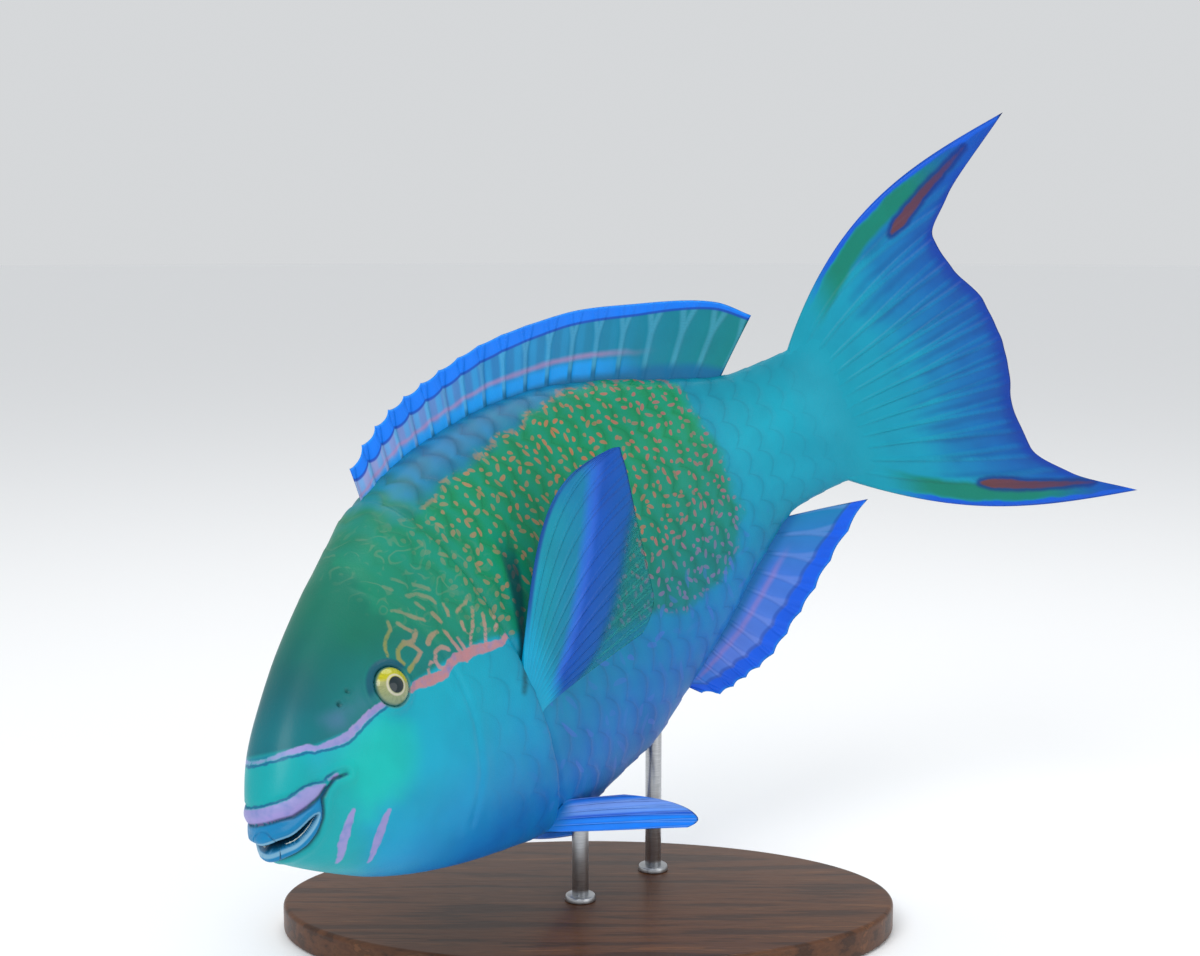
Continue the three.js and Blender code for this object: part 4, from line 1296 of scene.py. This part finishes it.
def paint_anal(n, p):
    rise = above_skin(n, p.out)
    colour = n.stops(
        p.share, (0, 20, 120, 220), (0.3, 86, 122, 216), (0.75, 60, 116, 210), (1, 0, 124, 176)
    )
    colour = n.over(colour, (140, 160, 236), p.ray, 0.22)
    colour = n.over(colour, (0, 108, 176), n.fade(rise, 0.22, 0.04))
    pink = n.times(n.band(rise, 0.24, 0.32, 0.05), n.band(p.share, 0.1, 0.8, 0.08))
    colour = n.over(colour, (150, 126, 196), pink, 0.55)
    colour = n.over(colour, (0, 92, 226), n.fade(p.edge, 11, 8.5))
    colour = n.over(colour, (0, 60, 160), n.band(p.edge, 9.5, 11.5, 0.8), 0.5)
    colour = n.over(colour, (0, 132, 236), n.fade(p.edge, 2.2, 0.4), 0.7)
    return colour, None


def paint_tail(n, p):
    drift = n.minus(p.cloud, 0.5)
    run = n.add(p.out, n.times(drift, 0.16))
    streaky = n.add(run, n.times(n.minus(0.5, p.ray), 0.1))
    colour = n.stops(
        streaky,
        (0.18, 0, 148, 172), (0.44, 0, 146, 176), (0.68, 0, 118, 174), (0.88, 0, 98, 170),
        (1, 0, 80, 160),
    )
    lines = n.fade(n.math("PINGPONG", n.add(n.times(p.across, 2.5), n.times(drift, 0.8)), 1), 0.45, 0.95)
    dark = n.times(n.band(run, 0.46, 0.88, 0.16), lines)
    colour = n.over(colour, (0, 74, 136), dark, 0.34)
    colour = n.over(colour, (0, 62, 158), n.fade(p.edge, 9, 1))
    lead = n.add(p.lead, n.times(drift, 5))
    lobe = n.fade(p.fish_x, 452, 480)
    green = n.times(n.band(lead, 3.2, 13.5, 1.8), lobe, n.fade(p.fish_x, 590, 545))
    colour = n.over(colour, (0, 124, 106), green)
    beyond = n.times(n.fade(p.fish_x, 530, 575), n.fade(lead, 22, 14))
    colour = n.over(colour, (0, 74, 176), beyond, 0.85)
    colour = n.over(colour, (0, 88, 206), n.fade(lead, 3.6, 2.2), lobe)
    rough = n.wobble(p.place, 160, 2, 1.8)
    streak = n.add(p.streak, rough)
    colour = n.over(colour, (0, 44, 122), n.fade(streak, 3.2, 0.6), 0.8)
    rust = n.stops(p.fish_x, (505, 104, 62, 66), (545, 84, 56, 84), (585, 30, 56, 130))
    colour = n.mix(n.fade(streak, 0.5, -0.9), colour, rust)
    return colour, None


def paint_pectoral(n, p):
    k = n.minus(n.add(p.share, p.out), 0.93)
    k = n.add(k, n.times(n.minus(p.cloud, 0.5), 0.05))
    colour = n.stops(
        k,
        (-0.9, 0, 152, 190), (-0.45, 0, 138, 160), (-0.12, 0, 124, 160), (-0.04, 36, 108, 200),
        (0.02, 40, 96, 200), (0.08, 0, 80, 176), (0.36, 0, 84, 160), (0.52, 0, 112, 128),
    )
    colour = n.over(colour, (0, 78, 150), n.fade(p.lead, 3.2, 1.2))
    colour = n.over(colour, (0, 110, 170), n.fade(k, -0.05, -0.3), n.fade(p.out, 0.5, 0.8))
    colour = n.over(colour, (0, 156, 196), n.fade(p.out, 0.24, 0.08))
    colour = n.over(colour, (40, 170, 150), p.ray, n.fade(k, 0.4, 0.55), 0.35)
    clear = n.times(n.fade(k, 0.34, 0.52), n.fade(p.out, 0.12, 0.3))
    opacity = n.minus(1, n.times(clear, 0.68))
    opacity = n.math("MAXIMUM", opacity, n.times(p.ray, 0.46))
    return colour, opacity


def paint_pelvic(n, p):
    colour = n.stops(
        p.share,
        (0, 0, 120, 240), (0.3, 0, 128, 240), (0.42, 0, 84, 206), (0.5, 96, 148, 236),
        (0.78, 112, 150, 232), (0.9, 10, 110, 220), (1, 0, 82, 190),
    )
    colour = n.over(colour, (150, 190, 246), p.ray, 0.2)
    colour = n.over(colour, (0, 108, 190), n.fade(p.out, 0.2, 0.04))
    return colour, None


def eye_finish():
    material, inputs, n = new_finish("wet_eye", 0.14, 0.5, 0.03, 0.3)
    _, across, up, _ = n.attribute("iris")
    reach = n.math("SQRT", n.add(n.times(across, across), n.times(up, up)))
    angle = n.math("ARCTAN2", up, across)
    fibres = n.noise(n.vector(n.times(angle, 6), n.times(reach, 1.5)), 2.2, 3)
    high = n.minus(n.times(up, 0.8), n.times(across, 0.6))
    colour = n.stops(
        high, (-0.9, 120, 140, 110), (0.1, 158, 160, 104), (0.3, 186, 180, 20), (0.9, 170, 172, 0)
    )
    colour = n.shade(colour, n.fade(fibres, 0.35, 0.75), 0.3)
    colour = n.over(colour, (196, 190, 170), n.band(reach, 0.44, 0.54, 0.04), 0.8)
    colour = n.over(colour, (38, 92, 88), n.fade(reach, 0.84, 0.97))
    colour = n.over(colour, (0, 34, 40), n.fade(reach, 0.43, 0.39))
    n.feed(inputs["Base Color"], colour)
    return material


def beak_finish():
    material, inputs, n = new_finish("tooth_plate", 0.3, 0.4, 0.1)
    _, across, out, _ = n.attribute("tooth")
    rows = n.vector(n.times(across, 17), n.times(out, 9))
    texture = {"Vector": rows, "Scale": 1}
    cells = n.made("ShaderNodeTexVoronoi", texture, voronoi_dimensions="2D", feature="DISTANCE_TO_EDGE")
    colour = n.stops(out, (0, 226, 236, 226), (0.3, 176, 216, 220), (1, 40, 130, 150))
    colour = n.shade(colour, n.fade(cells["Distance"], 0.12, 0.02), 0.3)
    grain = grained(n, n.objects(), 1500, 200)
    colour = n.shade(colour, n.fade(grain["Cloud"], 0.4, 0.8), 0.25)
    n.feed(inputs["Base Color"], colour)
    height = n.add(cells["Distance"], n.times(grain["Fine"], 0.3))
    n.feed(inputs["Normal"], n.bump(height, 0.0004, 0.5))
    return material


def wood_finish():
    material, inputs, n = new_finish("dark_oiled_wood", 0.45, 0.15, 0.2, 0.3)
    stretched = n.made("ShaderNodeMapping", {"Vector": n.objects(), "Scale": (3.5, 42, 42)})[0]
    grain = n.noise(stretched, 3, 6, 0.6)
    rings = n.math("SINE", n.times(grain, 34))
    colour = n.stops(grain, (0.25, 42, 26, 16), (0.5, 84, 52, 32), (0.75, 112, 72, 44))
    colour = n.shade(colour, n.fade(rings, 0.3, 1), 0.35)
    fine = grained(n, stretched, 30, 1)
    n.feed(inputs["Base Color"], colour)
    n.feed(inputs["Roughness"], n.add(0.36, n.times(fine["Fine"], 0.2)))
    n.feed(inputs["Normal"], n.bump(n.add(grain, n.times(fine["Fine"], 0.3)), 0.0003, 0.5))
    return material


def steel_finish():
    material, inputs, n = new_finish("brushed_steel_rod", 0.3, metallic=1)
    stretched = n.made("ShaderNodeMapping", {"Vector": n.objects(), "Scale": (60, 60, 2400)})[0]
    brushed = n.noise(stretched, 2, 2)
    n.feed(inputs["Base Color"], n.stops(brushed, (0.2, 150, 152, 156), (0.8, 202, 204, 206)))
    n.feed(inputs["Roughness"], n.add(0.22, n.times(brushed, 0.2)))
    return material


def floor_finish():
    material, inputs, _ = new_finish("pale_floor", 0.9, specular=0.1)
    inputs["Base Color"].default_value = (0.975, 0.98, 0.985, 1)
    return material


def dress(pieces, material):
    for piece in pieces:
        piece.data.materials.clear()
        piece.data.materials.append(material)


dress([skin], skin_finish())
dress(eyes, eye_finish())
dress(beaks, beak_finish())
FIN_PAINTS = {"dorsal": paint_dorsal, "anal": paint_anal, "tail": paint_tail}
FIN_PAINTS.update(pectoral=paint_pectoral, pelvic=paint_pelvic)
for fin_name, fin_paint in FIN_PAINTS.items():
    dress(fins[fin_name], fin_finish(fin_name + "_fin", RAY_SPLIT[fin_name], fin_paint))
dress([base], wood_finish())
dress(rods, steel_finish())
dress([floor], floor_finish())
